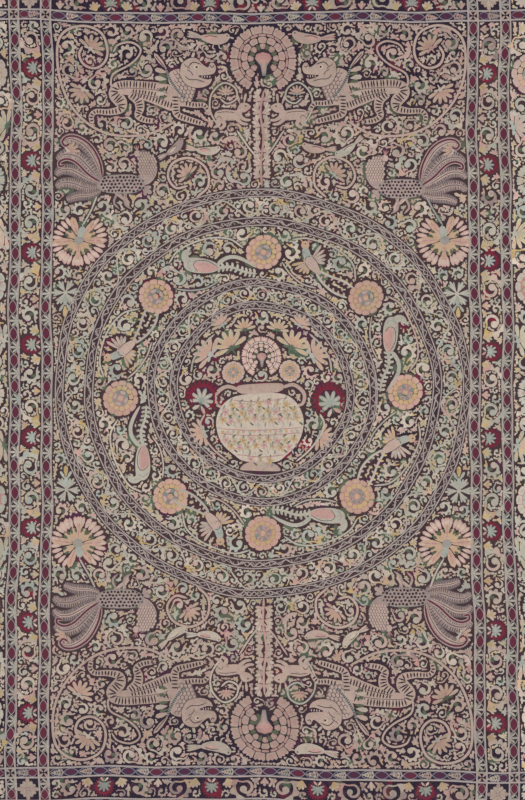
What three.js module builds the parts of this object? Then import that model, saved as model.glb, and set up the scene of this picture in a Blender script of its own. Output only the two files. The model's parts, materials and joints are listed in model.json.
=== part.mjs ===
// An embroidered bedspread, laid out flat and face up. Millimetres, +Z up, its head end towards +Y.
// It is one sheet of stitched cotton with a hem turned on to its face all round. The cloth lies as old
// hand-stitched cloth does: its edges aren't quite straight, it is a little wider at the foot than at
// the head, and the tight needlework has drawn it up into a few low puckers.
import * as THREE from "three";

// The plan of the face, from the middle outwards. Each band runs all round the field.
const field = { width: 1293, length: 2313 };
const bands = [
  { band: "inner guard", width: 36 },
  { band: "narrow border", width: 64 },
  { band: "middle guard", width: 36 },
  { band: "wide border", width: 184 },
  { band: "outer guard", width: 21 },
  { band: "hem", width: 14 },
];
const hemWidth = bands.at(-1).width;
const margin = bands.reduce((sum, row) => sum + row.width, 0);
const sheet = {
  width: field.width + 2 * margin,
  length: field.length + 2 * margin,
  thickness: 2.4,
  hemThickness: 3.6,
};

// How far the cloth has stretched out of square, read off its guard lines.
const stretch = {
  widerAtFoot: 0.0139, // share of the width, at the foot against the middle
  flare: 0.0065, // share of the width that both ends have gained
  leanPerEnd: 3.9, // sideways drift of the centre line from the middle to an end
  headSag: 11, // how far the middle of the head end hangs below its corners
  footDrop: 15, // how far the foot's +X corner hangs below its middle
};
const edgeWave = { height: 2.2, perSide: 5.5, perEnd: 3.5 };

// The puckers: middle (x, y), direction in degrees, half length, half width and height.
const puckers = [
  { x: -905, y: 610, turn: 84, length: 430, width: 120, height: 4.2 },
  { x: -885, y: -520, turn: 97, length: 380, width: 115, height: 3.6 },
  { x: 900, y: 240, turn: 93, length: 460, width: 120, height: 4.0 },
  { x: 890, y: -980, turn: 82, length: 330, width: 115, height: 4.6 },
  { x: -330, y: 1400, turn: 4, length: 360, width: 115, height: 3.8 },
  { x: 430, y: -1385, turn: -6, length: 380, width: 120, height: 4.4 },
  { x: -520, y: 690, turn: 38, length: 300, width: 125, height: 2.8 },
  { x: 540, y: 640, turn: -41, length: 280, width: 125, height: 2.6 },
  { x: 500, y: -650, turn: 44, length: 310, width: 125, height: 3.0 },
  { x: -490, y: -700, turn: -35, length: 260, width: 125, height: 2.4 },
];

// The grid that the sheet's two faces are drawn on: its outermost row of cells is the hem.
const cells = { across: 32, along: 46 };

// The place of line number i of a grid over a side of that size.
function gridLine(i, count, size) {
  if (i === 0) return -size / 2;
  if (i === count) return size / 2;
  const inner = size - 2 * hemWidth;
  return -inner / 2 + (inner * (i - 1)) / (count - 2);
}

// Moves a point of the ideal rectangle to where the stretched cloth has it. p and q run from -1 to 1.
function stretched(x, y) {
  const p = x / (field.width / 2);
  const q = y / (field.length / 2);
  const wide = 1 - stretch.widerAtFoot * q + stretch.flare * q * q;
  const head = Math.max(q, 0) ** 2;
  const foot = Math.max(-q, 0) ** 2;
  const sag = stretch.headSag * head * (1 - Math.min(p * p, 2.4) / 2);
  const drop = stretch.footDrop * foot * Math.max(p, 0);
  const side = Math.sin((Math.PI * edgeWave.perSide * y) / sheet.length);
  const end = Math.sin((Math.PI * edgeWave.perEnd * x) / sheet.width);
  return {
    x: x * wide - stretch.leanPerEnd * q + edgeWave.height * side * p * Math.abs(p),
    y: y - sag - drop + edgeWave.height * end * q * Math.abs(q),
  };
}

// A bump that is 1 in its middle and falls smoothly to 0 at its half size.
function rise(distance, half) {
  const share = Math.min(Math.abs(distance) / half, 1);
  return Math.cos((share * Math.PI) / 2) ** 2;
}

// How far the puckers lift the cloth off what it lies on.
function lift(x, y) {
  let height = 0;
  for (const pucker of puckers) {
    const turn = THREE.MathUtils.degToRad(pucker.turn);
    const dx = x - pucker.x;
    const dy = y - pucker.y;
    const along = dx * Math.cos(turn) + dy * Math.sin(turn);
    const across = -dx * Math.sin(turn) + dy * Math.cos(turn);
    height += pucker.height * rise(along, pucker.length) * rise(across, pucker.width);
  }
  return height;
}

// A flat block with a grid on both faces, every point of which is then moved to its true place.
function clothGeometry() {
  const geometry = new THREE.BoxGeometry(
    sheet.width,
    sheet.length,
    sheet.thickness,
    cells.across,
    cells.along,
    1,
  );
  const points = geometry.attributes.position;
  for (let i = 0; i < points.count; i++) {
    const column = Math.round((points.getX(i) / sheet.width + 0.5) * cells.across);
    const row = Math.round((points.getY(i) / sheet.length + 0.5) * cells.along);
    const x = gridLine(column, cells.across, sheet.width);
    const y = gridLine(row, cells.along, sheet.length);
    const onRim =
      column === 0 || column === cells.across || row === 0 || row === cells.along;
    const isTop = points.getZ(i) > 0;
    const thickness = onRim ? sheet.hemThickness : sheet.thickness;
    const place = stretched(x, y);
    points.setXYZ(i, place.x, place.y, lift(x, y) + (isTop ? thickness : 0));
  }
  geometry.computeVertexNormals();
  return geometry;
}

// The origin is under the middle of the sheet's bounding box.
function centred(geometry) {
  geometry.computeBoundingBox();
  const middle = geometry.boundingBox.getCenter(new THREE.Vector3());
  return geometry.translate(-middle.x, -middle.y, 0);
}

const stitchedCloth = new THREE.MeshStandardMaterial({
  color: 0xa39383,
  roughness: 0.82,
  metalness: 0,
});

const cloth = new THREE.Mesh(centred(clothGeometry()), stitchedCloth);
cloth.name = "cloth";

const bedspread = new THREE.Group();
bedspread.add(cloth);

export default bedspread;
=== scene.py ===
# An embroidered bedspread, laid out flat with its worked face up.
import json
import math
import random
import bpy
import bmesh
import numpy as np
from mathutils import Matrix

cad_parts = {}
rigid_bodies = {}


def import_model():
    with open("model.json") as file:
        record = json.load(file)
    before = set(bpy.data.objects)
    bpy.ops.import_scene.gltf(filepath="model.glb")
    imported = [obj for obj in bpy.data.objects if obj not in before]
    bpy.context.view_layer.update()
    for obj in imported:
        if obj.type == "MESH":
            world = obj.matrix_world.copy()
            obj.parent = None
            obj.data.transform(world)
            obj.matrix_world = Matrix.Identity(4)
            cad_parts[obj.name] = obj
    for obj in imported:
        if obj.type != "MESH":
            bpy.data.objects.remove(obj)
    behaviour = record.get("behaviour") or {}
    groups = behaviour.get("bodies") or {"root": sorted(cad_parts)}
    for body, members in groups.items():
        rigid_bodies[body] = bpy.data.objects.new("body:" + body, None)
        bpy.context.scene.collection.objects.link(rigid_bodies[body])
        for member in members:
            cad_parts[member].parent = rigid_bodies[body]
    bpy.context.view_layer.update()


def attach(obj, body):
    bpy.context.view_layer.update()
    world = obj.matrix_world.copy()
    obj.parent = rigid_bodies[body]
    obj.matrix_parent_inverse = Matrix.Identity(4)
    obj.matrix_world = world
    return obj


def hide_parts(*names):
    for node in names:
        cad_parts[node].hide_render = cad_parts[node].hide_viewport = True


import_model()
dice = random.Random(1907)
print("frame loaded")

# The plan of the cloth in millimetres, from the field outwards, and how the cloth has stretched.
plan = {
    "fieldWidth": 1293, "fieldLength": 2313, "innerGuard": 36, "narrowBorder": 64,
    "middleGuard": 36, "wideBorder": 184, "outerGuard": 21, "hem": 14,
    "widerAtFoot": 0.0139, "flare": 0.0065, "leanPerEnd": 3.9, "headSag": 11, "footDrop": 15,
    "edgeWave": 2.2, "wavesPerSide": 5.5, "wavesPerEnd": 3.5,
    "clothThickness": 1.35, "hemRise": 1.5,
}
puckers = [  # middle x and y, direction, half length, half width and height
    (-905, 610, 84, 430, 120, 4.2), (-885, -520, 97, 380, 115, 3.6), (900, 240, 93, 460, 120, 4.0),
    (890, -980, 82, 330, 115, 4.6), (-330, 1400, 4, 360, 115, 3.8), (430, -1385, -6, 380, 120, 4.4),
    (-520, 690, 38, 300, 125, 2.8), (540, 640, -41, 280, 125, 2.6), (500, -650, 44, 310, 125, 3.0),
    (-490, -700, -35, 260, 125, 2.4),
]
# The sewing chart: millimetres to a step, and its middle.
chart = {"step": 3.1, "midX": 261.0, "midY": 393.0}
margin = sum(plan[name] for name in
             ("innerGuard", "narrowBorder", "middleGuard", "wideBorder", "outerGuard", "hem"))
sheetWidth = plan["fieldWidth"] + 2 * margin
sheetLength = plan["fieldLength"] + 2 * margin


# Where the stretched cloth has a point of the ideal rectangle.
def stretched(x, y):
    p, q = x / (plan["fieldWidth"] / 2), y / (plan["fieldLength"] / 2)
    wide = 1 - plan["widerAtFoot"] * q + plan["flare"] * q * q
    head, foot = np.maximum(q, 0) ** 2, np.maximum(-q, 0) ** 2
    sag = plan["headSag"] * head * (1 - np.minimum(p * p, 2.4) / 2)
    drop = plan["footDrop"] * foot * np.maximum(p, 0)
    side = np.sin(math.pi * plan["wavesPerSide"] * y / sheetLength)
    end = np.sin(math.pi * plan["wavesPerEnd"] * x / sheetWidth)
    return (x * wide - plan["leanPerEnd"] * q + plan["edgeWave"] * side * p * abs(p),
            y - sag - drop + plan["edgeWave"] * end * q * abs(q))


def rise(distance, half):
    return np.cos(np.minimum(abs(distance) / half, 1) * math.pi / 2) ** 2


def lifted(x, y):
    height = np.zeros_like(x)
    for midX, midY, turn, length, width, top in puckers:
        c, s = math.cos(math.radians(turn)), math.sin(math.radians(turn))
        along, across = (x - midX) * c + (y - midY) * s, (y - midY) * c - (x - midX) * s
        height += top * rise(along, length) * rise(across, width)
    return height


# The lines of the work aren't drawn quite straight, and tight stitches cockle the cloth a little.
def crooked(x, y):
    return (x + 2.3 * np.sin(y / 71 + 2 * np.sin(x / 190)) + 1.5 * np.sin(y / 37 + x / 83),
            y + 2.1 * np.sin(x / 78 + 2 * np.sin(y / 230)) + 1.4 * np.sin(x / 41 - y / 90))


def cockled(x, y):
    return (0.16 * np.sin(x / 27 + 1.4 * np.sin(y / 61)) * np.sin(y / 33 + 1.2 * np.sin(x / 49))
            + 0.12 * np.sin((x + y) / 58 + np.sin((x - y) / 120)))


def gridLines(count, size):
    inner = size - 2 * plan["hem"]
    return np.concatenate(([-size / 2], np.linspace(-inner / 2, inner / 2, count - 1), [size / 2]))


def clothMiddle():
    x, y = stretched(*np.meshgrid(gridLines(32, sheetWidth), gridLines(46, sheetLength)))
    return (x.min() + x.max()) / 2, (y.min() + y.max()) / 2


middleX, middleY = clothMiddle()


# From millimetres on the ideal cloth, and a height over its back, to metres where it lies.
def laidOut(x, y, height):
    x, y = crooked(x, y)
    placeX, placeY = stretched(x, y)
    return np.stack((placeX - middleX, placeY - middleY, lifted(x, y) + height), 1) / 1000


# The camera hangs straight above what the photograph shows of the cloth.
view = {"lens": 100.0, "sensor": 36.0, "frameX": 262.5, "frameY": 400.0, "frameHeight": 800 * chart["step"]}


def setCamera():
    camera = bpy.data.cameras.new("camera")
    camera.lens, camera.sensor_width = view["lens"], view["sensor"]
    camera.clip_end = 60
    holder = bpy.data.objects.new("camera", camera)
    x = (view["frameX"] - chart["midX"]) * chart["step"] - middleX
    y = (chart["midY"] - view["frameY"]) * chart["step"] - middleY
    away = view["frameHeight"] / 1000 * view["lens"] / view["sensor"]
    holder.location = (x / 1000, y / 1000, away)
    bpy.context.collection.objects.link(holder)
    bpy.context.scene.camera = holder


setCamera()
print("camera set")

# Thread colours, as the eye sees them.
threadColours = {
    "sage": (177, 173, 160), "cream": (199, 183, 168), "blush": (190, 162, 151), "pink": (196, 150, 143),
    "peach": (194, 160, 130), "ochre": (190, 160, 104), "crimson": (118, 20, 46), "plum": (72, 28, 56),
    "green": (84, 97, 78), "moss": (88, 92, 72), "blue": (118, 122, 138), "lilac": (166, 153, 150),
    "grey": (126, 130, 126), "ink": (46, 34, 42), "mist": (160, 166, 157), "rose": (172, 124, 122),
    "dusk": (162, 140, 136), "straw": (182, 168, 132), "wine": (92, 26, 50), "navy": (44, 48, 76),
    "shade": (104, 90, 92), "ash": (146, 142, 138),
}
firstFixed = 4  # threads 0 to 3 are chosen anew for each motif
thread = {name: firstFixed + i for i, name in enumerate(threadColours)}


def linear(colour):
    c = np.array(colour, float) / 255
    return np.where(c <= 0.04045, c / 12.92, ((c + 0.055) / 1.055) ** 2.4)


fixedThreads = np.array([linear(c) for c in threadColours.values()])


def pick(shares):
    return dice.choices(list(shares), list(shares.values()))[0]


# The four free threads of a motif at a place: the silks are greener in the middle and pinker at the ends.
silkShares = {
    "middle": [{"sage": 6, "cream": 4, "mist": 2, "blush": 1},
               {"sage": 4, "cream": 4, "mist": 2, "blush": 1},
               {"ochre": 4, "peach": 3, "pink": 2, "sage": 2, "straw": 2},
               {"mist": 3, "green": 1, "sage": 3}],
    "ends": [{"blush": 6, "cream": 4, "dusk": 1},
             {"blush": 4, "cream": 4, "pink": 2, "sage": 0.6},
             {"blush": 3, "peach": 1, "pink": 3, "cream": 2},
             {"cream": 3, "pink": 3, "moss": 0.5}],
}


# How the silks change from the middle to the ends, and how much one dye lot differs from the next.
fading = {"end": 373, "from": 0.38, "over": 0.5, "dye": (0.86, 1.12), "middle": 1.03, "ends": 0.22,
          "borders": 0.12}


def silks(x, y, main=None, second=None, accent=None, leaf=None):
    t = min(max((abs(y) / fading["end"] - fading["from"]) / fading["over"], 0), 1)
    tone = fading["middle"] - fading["ends"] * t - fading["borders"] * (abs(y) > fading["end"] + 1)
    table = np.zeros((firstFixed + len(fixedThreads), 3))
    table[firstFixed:] = fixedThreads
    for i, wanted in enumerate((main, second, accent, leaf)):
        name = wanted or pick(silkShares["ends" if dice.random() < t * t * (3 - 2 * t) else "middle"][i])
        table[i] = table[thread[name]] * dice.uniform(*fading["dye"]) * tone
    return table


def paler(x, y):  # the silks of the side borders, which are lighter on the right
    return silks(x, y * 0.5) * (1.14 if x > 240 else 1)


# A stitched shape: points in steps with heights in millimetres, triangles, the way the stitches run,
# the number of each point's thread, and the circles of cloth that it takes up.
class Motif:
    def __init__(self, points, faces, along, part, cover):
        self.points, self.faces, self.along, self.part, self.cover = points, faces, along, part, cover

    def moved(self, x=0.0, y=0.0, turn=0.0, size=1.0, flipX=False, flipY=False, up=0.0, part=None):
        c, s = math.cos(math.radians(turn)) * size, math.sin(math.radians(turn)) * size
        mx, my = (-1 if flipX else 1), (-1 if flipY else 1)

        def place(px, py):
            px, py = px * mx, py * my
            return px * c - py * s + x, px * s + py * c + y

        px, py = place(self.points[:, 0], self.points[:, 1])
        cx, cy = place(self.cover[:, 0], self.cover[:, 1])
        faces = self.faces[:, ::-1] if mx * my < 0 else self.faces
        parts = self.part if part is None else np.full_like(self.part, part)
        return Motif(np.stack((px, py, self.points[:, 2] + up), 1), faces, self.along * size, parts,
                     np.stack((cx, cy, self.cover[:, 2] * size), 1))


def together(*motifs):
    faces, start = [], 0
    for m in motifs:
        faces.append(m.faces + start)
        start += len(m.points)
    return Motif(np.concatenate([m.points for m in motifs]), np.concatenate(faces),
                 np.concatenate([m.along for m in motifs]), np.concatenate([m.part for m in motifs]),
                 np.concatenate([m.cover for m in motifs]))


def fromMesh(bm, part, along, cover):
    bmesh.ops.triangulate(bm, faces=bm.faces[:])
    bm.verts.index_update()
    points = np.array([v.co[:] for v in bm.verts])
    faces = np.array([[v.index for v in f.verts] for f in bm.faces], int)
    bm.free()
    parts = np.full(len(points), part, int) if np.isscalar(part) else np.array(part, int)
    return Motif(points, faces, along(points), parts, np.array(cover, float).reshape(-1, 3))


def smoothLine(points, count, closed=False):
    p = np.array(points, float)
    p = np.vstack((p[-1:], p, p[:2])) if closed else np.vstack((2 * p[0] - p[1], p, 2 * p[-1] - p[-2]))
    spans = len(p) - 3
    t = np.linspace(0, spans, count, endpoint=not closed)
    i = np.minimum(t.astype(int), spans - 1)
    u = (t - i)[:, None]
    a, b, c, d = p[i], p[i + 1], p[i + 2], p[i + 3]
    return 0.5 * (2 * b + (c - a) * u + (2 * a - 5 * b + 4 * c - d) * u**2 + (3 * b - a - 3 * c + d) * u**3)


foot = 0.1  # how high the edge of a stitched shape lies over the cloth, in millimetres


# A band of stitching, domed across: its middle line, and how far it reaches to the right and left.
def ribbon(middle, right, left, part=0, height=0.75, ahead=None):
    count = len(middle)
    ahead = np.gradient(middle, axis=0) if ahead is None else ahead
    ahead = ahead / np.maximum(np.linalg.norm(ahead, axis=1), 1e-9)[:, None]
    across = np.stack((-ahead[:, 1], ahead[:, 0]), 1)
    run = np.concatenate(([0], np.cumsum(np.linalg.norm(np.diff(middle, axis=0), axis=1))))
    reach = np.stack((-right, (left - right) / 2, left))
    bm = bmesh.new()
    bmesh.ops.create_grid(bm, x_segments=count - 1, y_segments=2, size=1)
    for n, v in enumerate(bm.verts):
        i, j = n % count, n // count
        place = middle[i] + across[i] * reach[j, i]
        v.co = (place[0], place[1], foot + height if j == 1 else foot)
    along = np.stack((np.tile(run, 3), reach.ravel()), 1)
    return fromMesh(bm, np.tile(np.broadcast_to(part, count), 3), lambda points: along,
                    np.column_stack((middle, (right + left) / 2)))


# A line of stitching along a path of points (x, y, width).
def stem(path, part=0, height=0.75, count=None, closed=False, taper=0.35):
    line = smoothLine(path, count or 3 * len(path), closed)
    if closed:
        line = np.vstack((line, line[:1]))
    xy, half = line[:, :2], np.maximum(line[:, 2], 0.2) / 2
    ahead = np.gradient(xy, axis=0)
    if closed:
        ahead[0] = ahead[-1] = xy[1] - xy[-2]
    else:
        half[[0, -1]] *= taper
    return ribbon(xy, half, half, part, height, ahead)


# A small filled shape inside an outline, raised in its middle.
def pad(outline, part=0, heart=None, height=0.6, base=foot, cover=()):
    bm = bmesh.new()
    face = bm.faces.new([bm.verts.new((x, y, base)) for x, y in outline])
    for v in bmesh.ops.poke(bm, faces=[face])["verts"]:
        v.co.z = base + height
    rim = list(np.broadcast_to(part, len(outline)))
    return fromMesh(bm, rim + [rim[0] if heart is None else heart], lambda p: p[:, :2].copy(), cover)


def polar(angle, radius):
    return radius * math.cos(math.radians(angle)), radius * math.sin(math.radians(angle))


# One lobe of satin stitch from its root at (0, 0) out along +x.
def petal(length, width, part=0, height=0.7, sides=8, root=0.3, bend=0.0, heart=None):
    blunt, outline = (math.cos(math.pi / sides) if sides % 4 == 2 else 1), []
    for i in range(sides):
        x, y = polar(360 * (i + (blunt < 1) / 2) / sides, 1)
        t = (x / blunt + 1) / 2
        wide = (root + (1 - root) * min(t * 1.35, 1)) * width / 2
        outline.append((t * length, y * wide + bend * t * t * length))
    return pad(outline, part, heart, height, cover=[(length * 0.55, bend * length * 0.3, width * 0.42)])


# A blunt petal with straight sides, whose end is round or has teeth.
def wedge(length, narrow, wide, part=0, heart=None, teeth=0, height=0.6):
    tip = [(0.62, -0.5), (0.9, -0.38), (1.0, 0.0), (0.9, 0.38), (0.62, 0.5)]
    if teeth:
        tip = [(0.82 + 0.18 * (k % 2), k / (2 * teeth) - 0.5) for k in range(2 * teeth + 1)]
    sides = [(length * a, wide * b) for a, b in tip]
    return pad([(0, -narrow / 2), *sides, (0, narrow / 2)], part, heart, height)


def knot(radius, part=0, height=0.7, sides=8, base=foot):
    outline = [polar(360 * i / sides, radius) for i in range(sides)]
    return pad(outline, part, None, height, base, [(0, 0, radius)])


# A larger shape inside a smooth outline, flat but for its rim.
def padded(outline, part=0, height=0.6, rim=0.5, count=None, base=foot):
    line = smoothLine(outline, count or 3 * len(outline), closed=True)
    area = np.sum(line[:, 0] * np.roll(line[:, 1], -1) - np.roll(line[:, 0], -1) * line[:, 1])
    if area < 0:
        line = line[::-1]
    bm = bmesh.new()
    face = bm.faces.new([bm.verts.new((x, y, base)) for x, y in line])
    face.normal_update()
    bmesh.ops.inset_region(bm, faces=[face], thickness=rim, depth=height, use_even_offset=True,
                           use_boundary=True)
    long = True
    while long:  # large shapes get points inside, so that they follow the cloth under them
        bmesh.ops.triangulate(bm, faces=bm.faces[:])
        long = [e for e in bm.edges if e.calc_length() > 12]
        bmesh.ops.subdivide_edges(bm, edges=long, cuts=1)
    return fromMesh(bm, part, lambda p: p[:, :2].copy(), ())


def fan(motif, count, spread, radius=0.0, middle=0.0, sizes=None):
    made = []
    for i in range(count):
        share = i / (count - 1) - 0.5 if count > 1 else 0
        if spread >= 360:
            share = i / count - 0.5
        angle = middle + share * min(spread, 360)
        x, y = polar(angle, radius)
        made.append(motif.moved(x, y, angle, 1 if sizes is None else sizes[i]))
    return together(*made)


# The small motifs are each about one unit in radius or length.
# A scroll of acanthus: its stem hooks round to a fat bud, and a lobed leaf may grow along its back.
def acanthus(arc=250, stroke=0.3, bud=0.34, tail=((-0.5, -0.9),), leafLine=None, lobes=4, wide=0.45,
             within=False, scallops=0):
    path = [(x, y, 0.12 + 0.06 * i) for i, (x, y) in enumerate(tail)]
    for k in range(7):
        x, y = polar(arc * k / 6 - 100, 0.66 - 0.17 * k / 6)
        path.append((x, y, stroke * float(np.interp(k, (0, 3, 6), (0.55, 1.02, 0.8)))))
    count = max(15, 3 * scallops + 8)
    line = smoothLine(path, count)
    back, step = line[:, 2] / 2, np.arange(count) - 2
    if scallops:
        scalloped = back + np.where(step % 3 == 0, -0.04, 0.2)
        back = np.where((step > 0) & (step < 3 * scallops), scalloped, back)
    budX, budY = polar(arc - 86, 0.3)
    pieces = [ribbon(line[:, :2], back, line[:, 2] / 2, np.where(step < 2, 2, 0)),
              pad([polar(45 * i, bud) for i in range(8)], 1, 0, 0.7).moved(budX, budY)]
    cover = [(x, y, w / 2 + (0.1 if scallops else 0)) for x, y, w in line[::2]]
    cover += [(budX, budY, bud), (0.15, 0.05, 0.4)]
    if leafLine:
        lobe = np.arange(3 * lobes + 1) % 3
        s = np.linspace(0, 1, len(lobe))
        middle = smoothLine(leafLine, len(lobe))
        full = wide * np.interp(s, (0, 0.18, 0.65, 1), (0.3, 1, 0.95, 0.3))
        back = 0.13 * np.interp(s, (0, 0.2, 0.8, 1), (0.5, 1, 1, 0.4))
        pieces.append(ribbon(middle, back, np.where(lobe == 0, 0.3 * full, full),
                             np.where(s < 0.4, 2, np.where(s > 0.75, 1, 0))))
        ahead = np.gradient(middle, axis=0)
        ahead = ahead / np.linalg.norm(ahead, axis=1)[:, None]
        out = middle + np.stack((-ahead[:, 1], ahead[:, 0]), 1) * (full * 0.35)[:, None]
        cover += [(x, y, f * 0.5) for (x, y), f in zip(out[1::2], full[1::2])]
    if within:
        hand = [(0.1, -0.44), (0.4, -0.38), (0.44, -0.12), (0.28, -0.16), (0.3, 0.1), (0.14, -0.06),
                (0.08, 0.12), (-0.02, -0.2)]
        pieces.append(pad(hand, thread["green"], thread["moss"], 0.3, 0.06))
    motif = together(*pieces)
    motif.cover = np.array(cover)
    return motif


# A leaf, or a small flower from the side: round lobes that meet in one body.
def leaf(lobes=5, spread=120, notch=0.42, short=0.45, heart=2, hooks=0):
    outline, threads, pitch = [(-0.02, -0.05)], [heart], spread / (lobes - 1)
    for i in range(lobes):
        share = i / (lobes - 1) - 0.5
        reach = 0.86 * (1 - short * abs(share) ** 1.2)
        for turn, far in ((-0.5, notch), (-0.43, 0.8), (-0.17, 0.99), (0.17, 0.99), (0.43, 0.8)):
            x, y = polar(share * spread + turn * pitch, reach * far)
            outline.append((0.14 + x, y))
            threads.append(i % 2)
    pieces = [pad(outline + [(-0.02, 0.05)], threads + [heart], heart, 0.6)]
    for i in range(hooks):
        pieces.append(petal(0.34, 0.15, 3, sides=6, bend=0.3).moved(0.03, 0, 118).moved(flipY=i == 1))
    motif = together(*pieces)
    motif.cover = np.array([[0.5, 0, 0.4]])
    return motif


# The cloth that a motif takes up, as small circles all over it.
def covered(motif, spacing):
    cells = set()
    for a, b, c in motif.points[motif.faces][:, :, :2]:
        longest = max(np.abs(b - a).max(), np.abs(c - a).max(), np.abs(c - b).max())
        n = int(1.7 * longest / spacing) + 1
        for i in range(n + 1):
            for j in range(n + 1 - i):
                x, y = a + (b - a) * (i / n) + (c - a) * (j / n)
                cells.add((round(x / spacing), round(y / spacing)))
    motif.cover = np.array([(x * spacing, y * spacing, spacing * 0.45) for x, y in sorted(cells)])
    return motif


backLeaf = [(-0.42, -0.98), (-0.9, -0.68), (-1.1, -0.1), (-0.97, 0.45), (-0.5, 0.92)]
longTail = ((-1.9, -0.55), (-1.4, -0.9), (-0.85, -0.98), (-0.4, -0.84))
outerLeaf = [(-1.0, -0.62), (-1.25, -0.1), (-1.1, 0.45), (-0.7, 0.95)]
tailLeaf = [(-2.2, -0.2), (-1.75, -0.85), (-1.1, -1.2), (-0.5, -1.15)]
hookLeaf = [(-1.65, -0.35), (-1.3, -0.25), (-1.1, 0.1), (-1.0, 0.45), (-0.6, 1.0)]
scrolls = [acanthus(leafLine=backLeaf, within=True),
           acanthus(270, 0.27, 0.3, leafLine=backLeaf, lobes=5, wide=0.4),
           acanthus(230, 0.34, 0.38, ((-1.1, -0.5), (-0.6, -0.9)), outerLeaf, 3, 0.5, True),
           acanthus(255, 0.3, 0.36, leafLine=backLeaf, lobes=3, wide=0.5),
           acanthus(265, 0.3, 0.32, scallops=5, within=True)]
trailing = [acanthus(240, 0.32, 0.36, longTail, tailLeaf, 4, 0.5, True),
            acanthus(260, 0.3, 0.32, longTail, hookLeaf, 4, 0.45)]
curls = [acanthus(220, 0.34, 0.4, ((-0.9, -0.7), (-0.45, -0.88))),
         acanthus(240, 0.32, 0.36, within=True, scallops=4), acanthus(250, 0.3, 0.32, scallops=5)]
leaves = [leaf(5), leaf(3, 74, 0.5, 0.4), leaf(7, 190, 0.5, 0.3), leaf(4, 100), leaf(5, 150, 0.45, hooks=2)]
for motif in leaves:
    covered(motif, 0.1)
print("small motifs made")


# One piece of needlework: all that is sewn on a part of the cloth.
class Work:
    def __init__(self, name):
        self.name, self.points, self.faces, self.along, self.colours, self.count = name, [], [], [], [], 0

    # Where a gap is given, what is sewn later keeps that far off.
    def sew(self, motif, table, x=0.0, y=0.0, turn=0.0, size=1.0, flipX=False, flipY=False, up=0.0,
            gap=None):
        m = motif.moved(x, y, turn, size, flipX, flipY, up)
        colours = table[m.part] * dice.uniform(0.94, 1.05)
        self.points.append(m.points)
        self.faces.append(m.faces + self.count)
        self.along.append(m.along)
        self.colours.append(colours)
        self.count += len(m.points)
        if gap is not None:
            room.keepOff(m.cover, gap)
        return m

    def made(self, material):
        steps, faces = np.concatenate(self.points), np.concatenate(self.faces)
        a, b, c = (steps[faces[:, k], :2] for k in range(3))
        under = (b[:, 0] - a[:, 0]) * (c[:, 1] - a[:, 1]) - (b[:, 1] - a[:, 1]) * (c[:, 0] - a[:, 0])
        faces[under < 0] = faces[under < 0][:, ::-1]
        faces = faces[abs(under) > 1e-7]
        x, y = steps[:, 0] * chart["step"], steps[:, 1] * chart["step"]
        height = plan["clothThickness"] + cockled(x, y) + steps[:, 2]
        placed = laidOut(x, y, height)
        mesh = bpy.data.meshes.new(self.name)
        mesh.from_pydata(placed, [], faces)
        corners = faces.ravel()
        stitch = mesh.uv_layers.new(name="stitch")
        run = np.concatenate(self.along)[corners] * chart["step"] / 1000
        stitch.data.foreach_set("uv", run.astype(np.float32).ravel())
        flat = mesh.uv_layers.new(name="OFBake")
        low, high = placed[:, :2].min(0), placed[:, :2].max(0)
        share = 0.004 + 0.992 * (placed[:, :2] - low) / (high - low)
        flat.data.foreach_set("uv", share[corners].astype(np.float32).ravel())
        mesh.uv_layers.active = stitch
        stitch.active_render = True
        tone = mesh.color_attributes.new(name="thread", type="FLOAT_COLOR", domain="POINT")
        rgba = np.column_stack((np.concatenate(self.colours), np.ones(len(steps)))).astype(np.float32)
        tone.data.foreach_set("color", rgba.ravel())
        mesh.polygons.foreach_set("use_smooth", np.ones(len(faces), bool))
        mesh.materials.append(material)
        mesh.validate()
        piece = bpy.data.objects.new(self.name, mesh)
        bpy.context.collection.objects.link(piece)
        print(self.name, len(faces), "triangles")
        return piece


# The bare cloth left on the chart, cell by cell: how far each cell is from what is already sewn.
class Room:
    def __init__(self, halfWidth, halfLength):
        self.x0, self.y0 = -halfWidth, -halfLength
        self.x, self.y = np.arange(-halfWidth, halfWidth + 1.0), np.arange(-halfLength, halfLength + 1.0)
        self.clear = np.full((len(self.y), len(self.x)), 99.0)

    def keepOff(self, circles, gap, clear=None, x0=None, y0=None):
        if clear is None:
            clear, x0, y0 = self.clear, self.x0, self.y0
        for x, y, r in circles:
            reach = r + gap + 14
            i, k = max(int(x - reach - x0), 0), max(int(x + reach - x0) + 1, 0)
            j, m = max(int(y - reach - y0), 0), max(int(y + reach - y0) + 1, 0)
            part = clear[j:m, i:k]
            if part.size:
                gx = np.arange(i, i + part.shape[1]) + x0 - x
                gy = np.arange(j, j + part.shape[0]) + y0 - y
                np.minimum(part, np.hypot(gx[None, :], gy[:, None]) - r - gap, out=part)

    def area(self, x0, x1, y0, y1, edge):
        i, k = int(x0 - self.x0), int(x1 - self.x0) + 1
        j, m = int(y0 - self.y0), int(y1 - self.y0) + 1
        x, y = np.meshgrid(self.x[i:k], self.y[j:m])
        return np.minimum(self.clear[j:m, i:k], edge(x, y)).copy(), self.x[i], self.y[j]


room = Room(340, 500)
turns = [(22.5 * t, flip) for t in range(16) for flip in (False, True)]


# How far the cloth is free from a cell of the chart in one direction.
def freeWay(clear, i, j, angle, limit):
    dx, dy = polar(angle, 0.5)
    for step in range(1, int(2 * limit)):
        a, b = round(i + dx * step), round(j + dy * step)
        if not (0 <= a < clear.shape[1] and 0 <= b < clear.shape[0]) or clear[b, a] < 0.45:
            return 0.5 * (step - 1)
    return limit


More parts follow.
